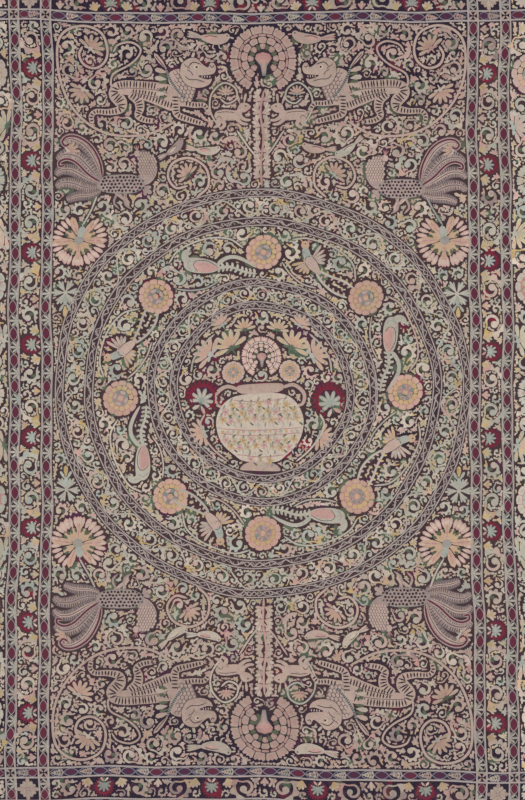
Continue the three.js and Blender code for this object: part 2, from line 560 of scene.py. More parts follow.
# A leaf or small flower whose lobes reach out from the middle of a gap as far as the cloth is free.
def grownLeaf(clear, i, j, c):
    limit = 2.2 * c + 1.4
    ways = [freeWay(clear, i, j, 30 * k, limit) for k in range(12)]
    ahead = 30 * ways.index(max(ways)) + dice.uniform(-8, 8)
    lobes, pitch = (3, 62) if c < 1.3 else (5, 52) if c < 2.4 else (7, 38)
    back = 0.85 * freeWay(clear, i, j, ahead + 180, limit)
    outline, threads, cover = [(-back, -0.12 * c)], [2], [(0, 0, 0.9 * c)]
    for k in range(lobes):
        angle = (k - (lobes - 1) / 2) * pitch
        reach = min(freeWay(clear, i, j, ahead + angle, limit), limit * (1 - abs(angle) / 330))
        for turn, far, least in ((-0.5, 0.42, 0.45), (-0.3, 0.85, 0.6), (0, 1, 0.6), (0.3, 0.85, 0.6)):
            outline.append(polar(angle + turn * pitch, max(far * reach, least * c)))
            threads.append(k % 2)
        cover.append((*polar(angle, 0.6 * reach), 0.25 * reach))
    return pad(outline + [(-back, 0.12 * c)], threads + [2], 2, 0.6, cover=cover), ahead


# Sews the free cloth of an area full: scrolls laid as close as they go, then leaves grown into the gaps.
def fillArea(work, box, edge, sizes, kinds, gap=0.62, least=1.1, table=silks, closer=0.0):
    clear, x0, y0 = room.area(*box, edge)
    high, wide = clear.shape
    spread = [np.array([kind.moved(turn=turn, flipY=flip).cover for turn, flip in turns]) for kind in kinds]
    flat, sewn, grown = clear.ravel(), 0, 0
    for size in sizes:
        missed = 0
        while missed < 30:
            free = np.flatnonzero((flat >= size * 0.8) & (flat < size * 0.8 + 1.5))
            if not len(free):
                free = np.flatnonzero(flat >= size * 0.8)
            if not len(free):
                break
            j, i = divmod(int(free[int(dice.random() * len(free))]), wide)
            kind = int(dice.random() * len(kinds))
            circles = spread[kind] * size
            column = np.clip(np.rint(i + circles[:, :, 0]).astype(int), 0, wide - 1)
            row = np.clip(np.rint(j + circles[:, :, 1]).astype(int), 0, high - 1)
            slack = (clear[row, column] - circles[:, :, 2]).min(1)
            best = int(np.argmax(slack + np.array([0.3 * dice.random() for _ in turns])))
            if slack[best] < -0.35:
                missed += 1
                continue
            x, y = x0 + i, y0 + j
            m = work.sew(kinds[kind], table(x, y), x, y, turns[best][0], size, flipY=turns[best][1])
            room.keepOff(m.cover, gap - closer * (abs(y) < 190), clear, x0, y0)
            sewn += 1
    order = np.flatnonzero(flat > least)
    for k in order[np.argsort(-flat[order], kind="stable")]:
        j, i = divmod(int(k), wide)
        if flat[k] > least + closer * (abs(y0 + j) >= 190):
            motif, ahead = grownLeaf(clear, i, j, min(flat[k], 4))
            m = work.sew(motif, table(x0 + i, y0 + j), x0 + i, y0 + j, ahead)
            room.keepOff(m.cover, 0.45, clear, x0, y0)
            grown += 1
    print("  sewed", sewn, "scrolls and", grown, "leaves")


patchWork, fieldWork, ringWork = Work("fillPatches"), Work("fieldStitch"), Work("ringStitch")
borderWork, edgeWork, figureWork = Work("borderStitch"), Work("wideBorderStitch"), Work("figureStitch")
lineWork = Work("couchedLines")


# Patches of one silk that show between the motifs above them.
def scatterPatches(box, inside, count, shares, size=(4, 8)):
    shapes = []
    for _ in range(6):
        corners = [polar(60 * i + dice.uniform(-14, 14), dice.uniform(0.7, 1.1)) for i in range(6)]
        shapes.append(padded(corners, height=0.02, rim=0.1, count=9, base=0.06))
    sewn = tries = 0
    while sewn < count and tries < 30 * count:
        x, y = dice.uniform(box[0], box[1]), dice.uniform(box[2], box[3])
        tries += 1
        if inside(x, y) > 1:
            sewn += 1
            patchWork.sew(dice.choice(shapes), silks(x, y, main=pick(shares)), x, y, dice.uniform(0, 360),
                          min(dice.uniform(*size), inside(x, y) + 1))


# The rings, in steps from their middle: they are drawn a little out of round.
rings = {
    "x": 1.0, "y": 1.5, "doubleLines": [(198, 206.5), (168, 177), (106, 114), (83, 91)],
    "scrollBands": [(177, 198, 43, 9.4), (91, 106, 33, 6.4)], "flowerBand": (114, 168), "disc": 83,
}


def outOfRound(angle, radius):
    waves = 1.9 * np.cos(2 * angle + 0.6) + 1.3 * np.cos(3 * angle - 1.1) + 0.5 * np.cos(7 * angle)
    return waves * radius / 200


def onRing(degrees, radius):
    a = math.radians(degrees)
    r = radius + float(outOfRound(a, radius))
    return rings["x"] + r * math.cos(a), rings["y"] + r * math.sin(a)


def ringRadius(x, y):
    dx, dy = x - rings["x"], y - rings["y"]
    r = np.hypot(dx, dy)
    return r - outOfRound(np.arctan2(dy, dx), r)


def ringLine(radius, width):
    count = int(radius * 2 * math.pi / 6)
    path = [(*onRing(360 * i / count, radius), width) for i in range(count)]
    return stem(path, thread["lilac"], 0.8, count=count, closed=True)


plain = silks(0, 0, main="lilac")
tick = petal(3.6, 0.9, thread["lilac"], sides=6, root=0.9, height=0.5)


# One of a pair of lines that cross each other again and again.
def twistedLine(radius, reach, period, width):
    around = 2 * math.pi * radius
    count, waves = int(around / 2.2), round(around / period)
    path = []
    for i in range(count):
        a = 2 * math.pi * i / count
        wave = math.sin(waves * a + 1.2 * math.sin(5 * a + radius) + 0.9 * math.sin(13 * a + reach)
                        + 1.4 * math.sin(31 * a + radius * reach))
        thick = width * (1 + 0.45 * math.sin(17 * a + radius) * math.sin(29 * a + reach))
        path.append((*onRing(360 * i / count, radius + reach * wave), thick))
    return stem(path, thread["lilac"], 0.5, count=count, closed=True)


for inner, outer in rings["doubleLines"]:
    middle = (inner + outer) / 2
    for radius in (inner + 0.5, outer - 0.5):
        lineWork.sew(ringLine(radius, 1.25), plain)
    for reach in (-2.3, 2.3):
        lineWork.sew(twistedLine(middle, reach, 17, 0.95), plain, up=0.05)
    count = int(2 * math.pi * middle / 4.2)
    for i in range(count):
        degrees = 360 * (i + dice.uniform(-0.4, 0.4)) / count
        x, y = onRing(degrees, middle + dice.uniform(-2.6, -0.6))
        slant = (38 if dice.random() < 0.5 else -38) + dice.uniform(-22, 22)
        lineWork.sew(tick, plain, x, y, degrees + slant, dice.uniform(0.6, 1.25), up=0.1)
print("ring lines laid")

for inner, outer, count, radius in rings["scrollBands"]:
    middle = (inner + outer) / 2
    count += count % 2  # the stem passes over one scroll and under the next
    path = []
    for i in range(4 * count):
        wave = (radius + 0.3) * math.sin(math.pi * (i - 0.5) / 4)
        path.append((*onRing(360 * (i - 0.5) / count / 4, middle + wave), 1.5))
    ringWork.sew(stem(path, 0, 0.5, 12 * count, closed=True), silks(0, 0, "sage"), up=-0.05)
    for i in range(count):
        up = i % 2 == 0
        x, y = onRing(360 * (i + 0.5) / count, middle + (-0.9 if up else 0.9))
        kind = (scrolls + trailing[1:])[i * 7 % 5]
        turn = 360 * (i + 0.5) / count + 90
        ringWork.sew(kind, silks(x, y), x, y, turn, radius * 0.92, flipY=not up, gap=0.4)
    span = outer + 6

    def bandEdge(x, y):
        r = ringRadius(x, y)
        return np.minimum(r - inner, outer - r) - 0.3

    scatterPatches((-span, span, -span, span), bandEdge, 90 if radius > 8 else 50,
                   {"green": 4, "moss": 2, "plum": 2}, (3, 6))
    fillArea(ringWork, (-span, span, -span, span), bandEdge, (5.0, 4.2, 3.6), curls)
print("scroll bands sewn")


# The borders: guards with twisted lines and ovals, and a row of red medallions between scrolls.
border = {
    "halfWidth": 208.5, "halfLength": 373.1, "guard": 11.6, "narrow": (11.6, 32.3), "middleGuard": 32.3,
    "wide": (43.9, 103.2), "outerGuard": (103.2, 110.0), "guardPeriod": 27.0,
    "medallions": {"left": (325, 233, 141, 49, -45, -135, -229, -319),
                   "right": (320, 229, 133, 42, -46, -138, -236, -326),
                   "top": (-150, -50, 53, 153), "bottom": (-155, -50, 54, 160)},
}
sideTurn = {"top": 0, "left": 90, "bottom": 180, "right": -90}


def halves(side):  # how far out the side lies, and half its own length
    wide, long = border["halfWidth"], border["halfLength"]
    return (long, wide) if side in ("top", "bottom") else (wide, long)


def onSide(side, u, v):
    out = halves(side)[0] + v
    a = math.radians(sideTurn[side])
    return u * math.cos(a) - out * math.sin(a), u * math.sin(a) + out * math.cos(a)


def sewOnSide(work, side, motif, table, u, v, turn=0.0, size=1.0, flipY=False, up=0.0, gap=None):
    x, y = onSide(side, u, v)
    table = table(x, y) if callable(table) else table
    return work.sew(motif, table, x, y, turn + sideTurn[side], size, flipY=flipY, up=up, gap=gap)


def straight(reach, width):
    ends = [(-reach, 0, width), (reach, 0, width)]
    return stem(ends, thread["lilac"], 0.8, count=max(int(2 * reach / 7.0), 3))


oval = pad([(6.9 * math.cos(k * math.pi / 7), 3.8 * math.sin(k * math.pi / 7)) for k in range(14)],
           thread["wine"])
darkOval = oval.moved(part=thread["plum"])
lobe = petal(0.96, 0.34, 0, root=0.45, heart=1)
guardLeaf = together(fan(lobe, 5, 172, 0.04, 0, (0.72, 0.84, 0.92, 0.84, 0.72)), knot(0.2, 1))
lyingLeaf = together(*[petal(4.6 - 0.5 * i, 2.7, i % 2, root=0.6).moved(2.4 * i, 0, side * (62 - 8 * i))
                       for i in range(4) for side in (-1, 1)],
                     petal(5.4, 2.8, 0).moved(7.4, 0), knot(1.1, 1))
halfLeaf = leaf(3, 120, 0.55)


def guardSilks(x, y):
    table = silks(x, y)
    table[:2] = (table[:2] + table[thread["mist"]]) / 2
    return table


def guardRun(side, u0, u1, v0):
    wide = border["guard"]
    count = max(1, round((u1 - u0) / border["guardPeriod"]))
    period, middle = (u1 - u0) / count, v0 + wide / 2
    steps = int((u1 - u0) / 2.6)
    atEnd = side in ("top", "bottom")
    for sign in (-1, 1):
        path = []
        for i in range(steps + 1):
            u = u0 + (u1 - u0) * i / steps
            arch = math.sin(2 * math.pi * (u - u0) / period)
            path.append((u, middle + sign * (wide / 2 - 2.0) * math.copysign(abs(arch) ** 0.7, arch), 0.75))
        line = stem(path, thread["blue" if atEnd else "ash"], 0.6, count=len(path))
        sewOnSide(lineWork, side, line, plain, 0, 0, up=0.1)
    for i in range(count):
        u = u0 + period * (i + 0.25)
        filled = darkOval if atEnd and dice.random() < 0.6 else oval
        sewOnSide(borderWork, side, filled, plain, u, middle - 0.5)
        u = u0 + period * (i + 0.75)
        if atEnd:
            sewOnSide(borderWork, side, lyingLeaf, silks, u - 6, middle, dice.uniform(-7, 7), 0.92, up=0.15)
        else:
            sewOnSide(borderWork, side, guardLeaf, guardSilks, u, middle - 4.2, 90, 9.0, up=0.15)


def toothedMedallion():
    arc = [(*polar(a, 0.73), 0.17) for a in range(-52, 233, 28)]
    teeth = fan(petal(0.3, 0.15, thread["crimson"], sides=6, root=0.9), 19, 288, 0.76, 90)
    foot = together(petal(0.75, 0.13, thread["green"], sides=6, root=1).moved(0, -0.1, -90),
                    petal(0.5, 0.3, thread["pink"], sides=6).moved(0.05, -0.55, -50),
                    petal(0.5, 0.3, thread["cream"], sides=6).moved(-0.05, -0.55, -130))
    motif = together(knot(0.7, thread["plum"], 0.02, 10, 0.06), stem(arc, thread["crimson"], count=14),
                     teeth,
                     fan(petal(0.8, 0.29, 3, root=0.45, heart=1), 7, 225).moved(0, -0.22, 90, up=0.12),
                     knot(0.27, 3).moved(0, -0.2, up=0.1), foot)
    motif.cover = np.array([[0, 0, 1.02], [0, -0.8, 0.3]])
    return motif


medallion = toothedMedallion()
cross = together(fan(leaf(3, 80, 0.5), 4, 360, 0.08), fan(petal(0.5, 0.2, 1, sides=6), 4, 360, 0.25, 45),
                 knot(0.12, 2))
leafCross = fan(petal(5.4, 3.0, 0, sides=6), 4, 360, 0.7, 45)


def medallionSilks(x, y):
    return silks(x, y, "cream", "mist", "peach", "mist")


def sewGuards(side):
    guard, narrow, wide = border["guard"], border["narrow"], border["wide"]
    half = halves(side)[1]
    for v0 in (0, border["middleGuard"]):
        for v in (v0 + 1.0, v0 + guard - 1.0):
            sewOnSide(lineWork, side, straight(half + wide[1] + 6.8, 1.7), plain, 0, v)
        guardRun(side, -half, half, v0)
        for sign in (-1, 1):
            for a, b in ((half + guard, half + narrow[1]), (half + wide[0], half + wide[1])):
                guardRun(side, min(sign * a, sign * b), max(sign * a, sign * b), v0)


def sewOuterGuard(side):
    half = halves(side)[1]
    a, b = border["outerGuard"]
    for v in (a + 0.8, b - 0.6):
        sewOnSide(lineWork, side, straight(half + v, 1.5), plain, 0, v)
    for i in range(int((half + b) * 2 / 9)):
        u = -half - a + (i + 0.5) * 9
        if abs(u) < half + a:
            sewOnSide(edgeWork, side, halfLeaf, silks, u, a + 1.6, 90, 4.4)


def sewNarrowBorder(side):
    out, half = halves(side)
    low, high = border["narrow"]
    middle = (low + high) / 2
    atEnd = side in ("top", "bottom")
    spots = sorted(-u if side in ("right", "bottom") else u for u in border["medallions"][side])
    for u in spots:
        sewOnSide(borderWork, side, medallion, medallionSilks, u, middle - 0.3, 0, 9.6, gap=0.8)
    pitch = spots[1] - spots[0]
    for a, b in zip([spots[0] - pitch] + spots, spots + [spots[-1] + pitch]):
        for share, flip in ((0.325, False), (0.675, True)):
            u = a + (b - a) * share
            if abs(u) < half - 8:
                sewOnSide(borderWork, side, dice.choice(scrolls), silks, u, middle, 200 if flip else -20,
                          10.2, flipY=flip, gap=0.8)
        for share, turn, v, size in ((0.155, 70, 1.2, 9.8), (0.845, 110, 1.2, 9.8), (0.5, 90, 0.9, 8.5)):
            u = a + (b - a) * share
            if abs(u) < half - 4:
                x, y = onSide(side, u, 0)
                halfway = share == 0.5
                table = silks(x, y, "pink") if halfway else silks(x, y, accent="ochre")
                sewOnSide(borderWork, side, leaves[1 if halfway else 0], table,
                          u - 3 * math.cos(math.radians(turn)), low + v, turn, size, gap=0.7)

    def inNarrow(x, y):
        u, v = (x, y) if atEnd else (y, x)
        v = (v if side in ("top", "right") else -v) - out
        return np.minimum(np.minimum(v - low, high - v), half - abs(u)) - 0.2

    (x0, y0), (x1, y1) = onSide(side, -half, low), onSide(side, half, high)
    box = (min(x0, x1) - 1, max(x0, x1) + 1, min(y0, y1) - 1, max(y0, y1) + 1)
    plums = 5 if atEnd else 2
    scatterPatches(box, inNarrow, 70 if atEnd else 26, {"plum": plums, "crimson": 1, "green": 1}, (3, 6))
    fillArea(borderWork, box, inNarrow, (8.0, 7.0, 6.0, 5.0, 4.2), scrolls + curls,
             *((1.0, 2.1) if atEnd else (0.5, 0.95, paler)))


# Navy and plum patches under the guards at an end.
def patchGuards(side):
    out, half = halves(side)
    for v0 in (0, border["middleGuard"]):
        def inGuard(x, y):
            v = abs(y) - out - v0
            return min(min(v, border["guard"] - v) - 1, half - abs(x))

        low, high = out + v0, out + v0 + border["guard"]
        low, high = (low, high) if side == "top" else (-high, -low)
        scatterPatches((-half, half, low, high), inGuard, 70, {"navy": 3, "plum": 2}, (3, 5))


def sewCorners():
    guard, wide, long = border["guard"], border["halfWidth"], border["halfLength"]
    middle = sum(border["narrow"]) / 2
    crossings = (guard / 2, border["middleGuard"] + guard / 2)
    for sx in (-1, 1):
        for sy in (-1, 1):
            for gx in crossings:
                for gy in crossings:
                    x, y = sx * (wide + gx), sy * (long + gy)
                    borderWork.sew(leafCross, silks(x, y), x, y, dice.uniform(-4, 4))
            x, y = sx * (wide + middle), sy * (long + middle)
            borderWork.sew(cross, silks(x, y), x, y, 0, 10.0)


for side in sideTurn:
    sewGuards(side)
    sewOuterGuard(side)
    sewNarrowBorder(side)
    if side in ("top", "bottom"):
        patchGuards(side)
sewCorners()
print("guards and narrow border sewn")

# Lines sewn over a motif: how thick they are and how high they lie, in millimetres.
overLine = {"height": 0.2, "up": 0.68}
ink = thread["ink"]


def inkLine(points, width=0.85, count=None, part=ink):
    path = [(x, y, width) for x, y in points]
    return stem(path, part, overLine["height"], count=count).moved(up=overLine["up"])


# A ring or fan of petals that all but touch.
def petalRing(count, inner, outer, part, spread=360.0, middle=90.0, gap=0.03, heart=None, teeth=0):
    pitch = math.radians(360 / count if spread >= 360 else spread / (count - 1))
    narrow, wide = inner * pitch - gap, (inner + 0.7 * (outer - inner)) * pitch - gap
    return fan(wedge(outer - inner, narrow, wide, part, heart, teeth), count, spread, inner, middle)


def flower(*pieces, cover):
    motif = together(*pieces)
    motif.cover = np.array(cover, float)
    return motif


def rosette():  # rings of petals round a peach heart, with grey and pale eyes between
    return flower(
        knot(0.96, thread["rose"], 0.04, 12, 0.06), petalRing(12, 0.72, 1.0, 0, gap=0.03, heart=1),
        petalRing(12, 0.47, 0.72, 2, 360, 105, heart=1), petalRing(8, 0.2, 0.46, thread["grey"], gap=0.03),
        petalRing(4, 0.24, 0.42, 0, 360, 45, 0.2, 3).moved(up=0.25), knot(0.15, thread["peach"]),
        cover=[[0, 0, 1.0]])


def carnation():  # a round head with a comb-edged rim, rows of cells and a fan-shaped calyx on its stem
    calyx = [(-0.05, -0.5), (0.05, -0.5), (0.1, -0.2), (0.26, 0.02), (0.2, 0.15), (0, 0.21), (-0.2, 0.15),
             (-0.26, 0.02), (-0.1, -0.2)]
    calyxThreads = [thread["grey"]] * 3 + [thread["rose"]] * 5 + [thread["grey"]]
    back = [polar(a, 0.97) for a in range(-52, 233, 24)] + [(-0.13, -0.3), (0, -0.1), (0.13, -0.3)]
    diamond = petal(0.2, 0.17, thread["moss"], sides=4, root=0.9)
    return flower(
        pad(back, ink, height=0.02, base=0.06), petalRing(14, 0.775, 1.02, 0, 288, 90, 0.018, 1, teeth=3),
        petalRing(15, 0.69, 0.765, 1, 280, 90, 0.02), petalRing(11, 0.485, 0.68, 0, 272, 90, 0.022, 1),
        petalRing(7, 0.3, 0.48, 1, 262, 90, 0.13, 0), fan(diamond, 6, 218, 0.27, 90).moved(up=0.15),
        pad(calyx, calyxThreads, thread["pink"]).moved(up=0.2), cover=[[0, 0.05, 0.98], [0, -0.5, 0.3]])


def lotus():  # a hanging flower: broad petals and bunches of small round ones, from one capped knob
    broad = together(petal(0.74, 0.34, ink, 0.1, root=0.5),
                     petal(0.7, 0.28, 2, root=0.5, heart=1).moved(0.02, 0, up=0.2),
                     petal(0.5, 0.05, thread["rose"], 0.2, 6).moved(0.08, 0, up=0.7))
    spot = petal(0.16, 0.12, thread["moss"], 0.2, 6)
    pieces = []
    for a, k in ((110, 0.98), (50, 1.0), (184, 1.06), (-4, 1.06), (-90, 0.86)):
        pieces.append(broad.moved(*polar(a, 0.12), a, k))
    for a, k in ((147, 1), (23, 1.04), (-146, 1.02), (-40, 1.02), (-113, 0.98), (-68, 0.98)):
        spots = together(*[spot.moved(*polar(a + side * 12, 0.36), a) for side in (-1, 1)])
        root = polar(a, 0.14)
        bunch = together(wedge(0.7, 0.12, 0.56, ink, height=0.05).moved(*root, a, up=-0.04),
                         wedge(0.4, 0.08, 0.27, 2, thread["peach"], height=0.4).moved(*root, a),
                         fan(petal(0.36, 0.15, 1, root=0.6, heart=0), 5, 50, 0.53, a), spots.moved(up=0.4))
        pieces.append(bunch.moved(size=k))
    cap = petal(0.4, 0.26, thread["mist"], 0.4, root=1.0).moved(0.03, 0.06, 80)
    return flower(*pieces, knot(0.16, thread["ash"], 0.4).moved(up=0.4), cap.moved(up=0.45),
                  cover=[[0, 0, 0.78], [0.5, 0.1, 0.5], [-0.5, 0.1, 0.5], [0, -0.5, 0.55]])


def openFlower():  # a half-open flower seen from the side
    return flower(
        fan(petal(0.82, 0.3, 0, root=0.35, heart=2), 7, 168, 0.16, 90),
        fan(petal(0.5, 0.24, 1, heart=2), 4, 90, 0.1, 90).moved(up=0.3), knot(0.17, 3),
        petal(0.46, 0.2, 3).moved(turn=196), petal(0.46, 0.2, 3).moved(turn=-16),
        petal(0.4, 0.12, 3).moved(turn=-90), cover=[[0, 0.45, 0.6]])


def sprig():  # six leaves round an eye, and a bud on a stalk
    return flower(
        fan(leaf(3, 44, 0.55, 0.35, 1).moved(size=0.5), 6, 290, 0.1, 90), knot(0.1, 1),
        stem([(0, -0.1, 0.08), (0, -0.55, 0.07)], 0, count=4), petal(0.52, 0.24, 2).moved(0, -0.55, -90),
        petal(0.42, 0.16, 0).moved(0.03, -0.45, -60), petal(0.42, 0.16, 0).moved(-0.03, -0.45, -120),
        cover=[[0, 0, 0.45], [0, -0.6, 0.2], [0, -0.85, 0.15]])


flowers = {"rosette": rosette(), "carnation": carnation(), "lotus": lotus(), "open": openFlower(),
           "sprig": sprig()}


# The beasts and birds are in steps from the middle of each one. Short bars cross their bodies.
def crossLines(path, every=3.3, share=0.68, width=1.75, part=ink, height=0.2):
    line = smoothLine(path, 60)
    run = np.concatenate(([0], np.cumsum(np.linalg.norm(np.diff(line[:, :2], axis=0), axis=1))))
    made = []
    for s in np.arange(every * 0.8, run[-1] - every * 0.5, every):
        i = min(int(np.searchsorted(run, s)), 58)
        dx, dy = line[i + 1, :2] - line[i, :2]
        angle = math.degrees(math.atan2(dy, dx)) + 90
        long = max(line[i, 2] * share, 1.2)
        bar = petal(long, width, part, height, 6, 0.9).moved(up=overLine["up"] - 0.06)
        ox, oy = polar(angle, -long / 2)
        made.append(bar.moved(line[i, 0] + ox, line[i, 1] + oy, angle))
    return together(*made)


def stripedLimb(path):
    return together(stem(path, 0, 0.5, count=4 * len(path), taper=0.8), crossLines(path))


def toes(x, y, turn):
    return fan(petal(3.6, 1.7, 0, sides=6), 3, 70, 0, turn).moved(x, y)


def scales(rows, size, part=1):  # overlapping little lobes, each with a dark edge
    made = []
    for x, y, turn in rows:
        made.append(petal(size * 1.14, size * 1.14, thread["shade"], 0.1, 6, 0.9).moved(x, y, turn, up=0.6))
        made.append(petal(size * 0.92, size * 0.8, part, 0.25, 6, 0.9).moved(x, y, turn, up=0.72))
    return together(*made)


def shape(points, part=0, height=0.55, count=None):
    return padded(points, part, height, count=count)


def wingedBeast():
    trunk = [(-38, 17), (-26, 20.5), (-8, 19.5), (10, 17), (24, 13), (32, 2), (31, -9), (22, -13), (12, -9),
             (-4, -2), (-18, 4), (-30, 6), (-40, 10)]
    rows = [[(-36, 14, 7), (-26, 16.5, 8), (-8, 15.5, 8), (8, 13, 8), (20, 9, 8)],
            [(-20, 10, 3), (-8, 8, 5), (6, 4.5, 6), (18, 0, 7)],
            [(-18, 6, 3), (-6, 2.5, 5), (6, -1.5, 6.5), (18, -6, 7.5), (26, -8, 7)]]
    neck = [(20, 25), (23, 8), (27, -5), (36, -8), (44, -2), (48, 8), (49, 18), (42, 27), (30, 31)]
    head = [(32, 25), (33, 36), (40, 42), (48, 42.5), (54, 37), (60, 33.5), (62, 38), (66, 38), (68.5, 33),
            (66.5, 27), (59, 25), (51, 24), (60, 21), (65, 22), (63, 16), (55, 12), (45, 12), (37, 16)]
    mane = [(26 + 4.1 * i + 2 * (j % 2) + 0.8 * j, 29 - 4 * j, -52 - 4 * j)
            for j in range(8) for i in range(5 - (j > 4) - (j > 6))]
    tail = [(-39, 13, 2.6), (-41, 17, 2.2), (-38, 27, 2), (-22, 36, 2), (-12, 45, 2), (-10, 54, 2),
            (-20, 60, 2), (-33, 57, 2), (-38, 49, 1.6)]
    limbs = [([(36, -4, 8), (47, -6, 6), (57, -6, 5.5), (62, -13, 5)], -60),
             ([(-35, 15, 9), (-37, 6, 12), (-30, -2, 13), (-30, -10, 9), (-42, -13, 6.5), (-55, -13, 5.5),
               (-60, -18, 5.5), (-59, -25, 5)], -80),
             ([(-21, 6, 8), (-12, -1, 10), (-10, -10, 9), (-12, -17, 7), (-6, -22, 6), (5, -24, 5.5)], -10),
             ([(27, 4, 10), (27, -9, 9), (29, -17, 7.5), (40, -21, 6.5), (55, -25, 5.5)], -20)]
    made = [stem(tail, 0, count=30), shape(trunk)] + [crossLines(row, 3.3, 0.85) for row in rows]
    made += [inkLine([(x, y - w / 2 - 0.2) for x, y, w in row], 0.5) for row in rows[:2]]
    for path, turn in limbs:
        made += [stem([(x, y, w + 1.2) for x, y, w in path], ink, 0.3).moved(up=0.1),
                 stripedLimb(path).moved(up=0.2), toes(*path[-1][:2], turn)]
    made += [shape(neck), scales(mane, 4.5, 0)]
    gap = petal(9, 4.4, thread["moss"], 0.3, sides=6)
    made += [gap.moved(19, 23.5 - 7 * i, 165 + 9 * i, up=0.62) for i in range(4)]
    for i in range(4):
        made.append(petal(14 - i, 6.4, i % 2).moved(19 - 0.6 * i, 27 - 7 * i, 160 + 9 * i, up=0.7))
    tooth = petal(2.4, 1.3, thread["cream"], 0.2, 6)
    face = together(
        shape(head), inkLine(head + head[:1], 0.5),
        petal(13, 3.4, thread["plum"], 0.2, 6).moved(52, 23.4, 2, up=0.6),
        *[tooth.moved(55 + 2.6 * i, 25, -95, up=0.75) for i in range(4)],
        inkLine([(37, 24), (42, 20), (50, 20), (58, 18)], 0.8),
        inkLine([(62, 36), (64, 33.5), (66, 35)], 0.8),
        knot(2.4, thread["cream"], 0.2).moved(48, 33, up=0.65), knot(1.2, ink, 0.2).moved(48.6, 33, up=0.95),
        inkLine([(40, 33), (45, 38), (53, 36)], 0.9), inkLine([(39, 30), (43, 28), (46, 24)], 0.7),
        *[inkLine([(36 + 2.2 * i, 36 - 1.5 * i), (38 + 2.2 * i, 33 - 1.5 * i)], 0.6) for i in range(3)])
    collar = [(17, 32), (22, 20), (30, 8), (39, -1)]
    return together(
        *made, petal(24, 5.4, 0).moved(19, 30, 128), inkLine([(17, 32), (10, 41), (6, 46)], 0.7),
        petal(9, 3.6, 1).moved(36, 36, 128), petal(9, 3.8, 1).moved(43, 40, 75),
        petal(8, 3.4, 1).moved(50, 38, 50), face.moved(up=0.35),
        stem([(*spot, 2.4 + 0.2 * (0 < i < 3)) for i, spot in enumerate(collar)], thread["grey"], 0.2,
             count=12).moved(up=0.75),
        crossLines([(*spot, 3) for spot in collar], 2.2, 0.9, 0.9).moved(up=0.4))


def hare():
    limbs = [[(7, -3, 5), (14, -9, 3.6), (21, -10, 2.8)], [(11, -1, 5), (18, -5, 3.4), (24, -5, 2.6)],
             [(-14, -4, 6), (-12, -10, 4), (-19, -14, 3)], [(-9, -4, 6), (-6, -11, 4), (-12, -16, 3)]]
    body = [(-17, -1, 9), (-6, 0.5, 12.5), (7, 0, 11), (13, 4, 8)]
    head = [(9, 6), (12, 13), (18, 14), (24, 10), (20, 5), (14, 3)]
    return together(
        *[stem(limb, 0, 0.5, count=8) for limb in limbs], stem(body, 0, 0.55, count=14),
        petal(9, 4, 1).moved(-20, 1, 165), shape(head), petal(12, 3.6, 0).moved(12, 12, 108),
        petal(12, 3.6, 0).moved(16, 13, 82), knot(0.9, ink, 0.2).moved(18, 10.5, up=0.62),
        inkLine([(-14, 3), (-5, 4), (6, 3)], 0.6), inkLine([(-15, -3), (-11, -1), (-9, -4)], 0.6))


def smallBird(wing="pink"):
    body = [(-12, 1, 4), (-4, 0, 8.5), (5, 0, 10.5), (12, 2, 9), (16, 4, 6)]
    legs = [[(2, -5, 1.4), (1, -9, 1.3), (4, -10, 1)], [(7, -4, 1.4), (8, -8, 1.3), (11, -9, 1)]]
    return together(
        *[petal(17, 3, i % 2).moved(-9, 0.6 * i, 178 - 7 * i) for i in range(3)],
        stem(body, 0, 0.5, count=14), knot(3.6, 0, 0.5).moved(15, 4),
        petal(4.5, 2.4, 2, sides=6).moved(18, 4, -12),
        petal(15, 6, thread[wing], 0.3).moved(6, 0.5, 176, up=0.4),
        inkLine([(6, 2.5), (-2, 3), (-8, 1)], 0.6), knot(0.8, ink, 0.2, 6).moved(15.5, 5, up=0.6),
        *[stem(leg, 2, count=5) for leg in legs])


def fringe(path, count, turn, size=4.4, part=1):  # small leaves along one side of a line
    line = smoothLine(path, 2 * count + 1)
    made = []
    for i in range(count):
        dx, dy = line[2 * i + 2] - line[2 * i]
        angle = math.degrees(math.atan2(dy, dx)) + turn
        made.append(petal(size, size * 0.66, part, sides=6, root=0.6).moved(*line[2 * i + 1], angle))
    return together(*made)


def dove():  # a long bird that looks back, with a leafy tail that trails round the ring
    tails = [[(-17, 1, 5), (-27, 8, 4.4), (-38, 9, 4.2), (-50, 4, 3.6), (-61, -3, 2)],
             [(-17, -3, 4), (-32, -2, 3), (-48, -8, 2.6), (-62, -10, 1.6)]]
    lower = [(x, y) for x, y, w in tails[1]]
    body = [(-20, -2), (-14, 4), (-3, 7.5), (8, 8.5), (16, 7.5), (21, 3), (19.5, -4), (10, -8), (-5, -8.5),
            (-15, -6.5)]
    neck = [(14, 2, 9), (19.5, 8, 8), (18, 13.5, 7), (12, 14.5, 5.5)]
    wing = [(-18, -2.5), (-8, 2.5), (6, 3.5), (10, -1), (4, -7), (-9, -7.3)]
    return together(
        stem(tails[0], 0, count=16), stem(tails[1], 0, count=14), fringe(lower, 9, 112, 5.2, 0),
        fringe(lower, 9, -112, 5.4, 1), shape(body), stem(neck, 0, 0.5, count=12).moved(up=0.1),
        petal(5, 2.4, 2, sides=6).moved(9, 14.5, 184),
        *[petal(5, 1.8, 1, sides=6).moved(15, 16, 70 + 28 * i) for i in range(3)],
        shape(wing, thread["pink"], 0.2).moved(up=0.55),
        inkLine([(-17, -1), (-6, 5), (6, 5), (10, 0), (5, -7)], 0.6),
        inkLine([(-12, -1.5), (-3, 0.5), (6, 0)], 0.5, part=thread["rose"]),
        inkLine([(13, -6), (17, 0), (14, 6)], 0.5, part=thread["grey"]),
        knot(0.9, ink, 0.2, 6).moved(13.5, 15, up=0.7))


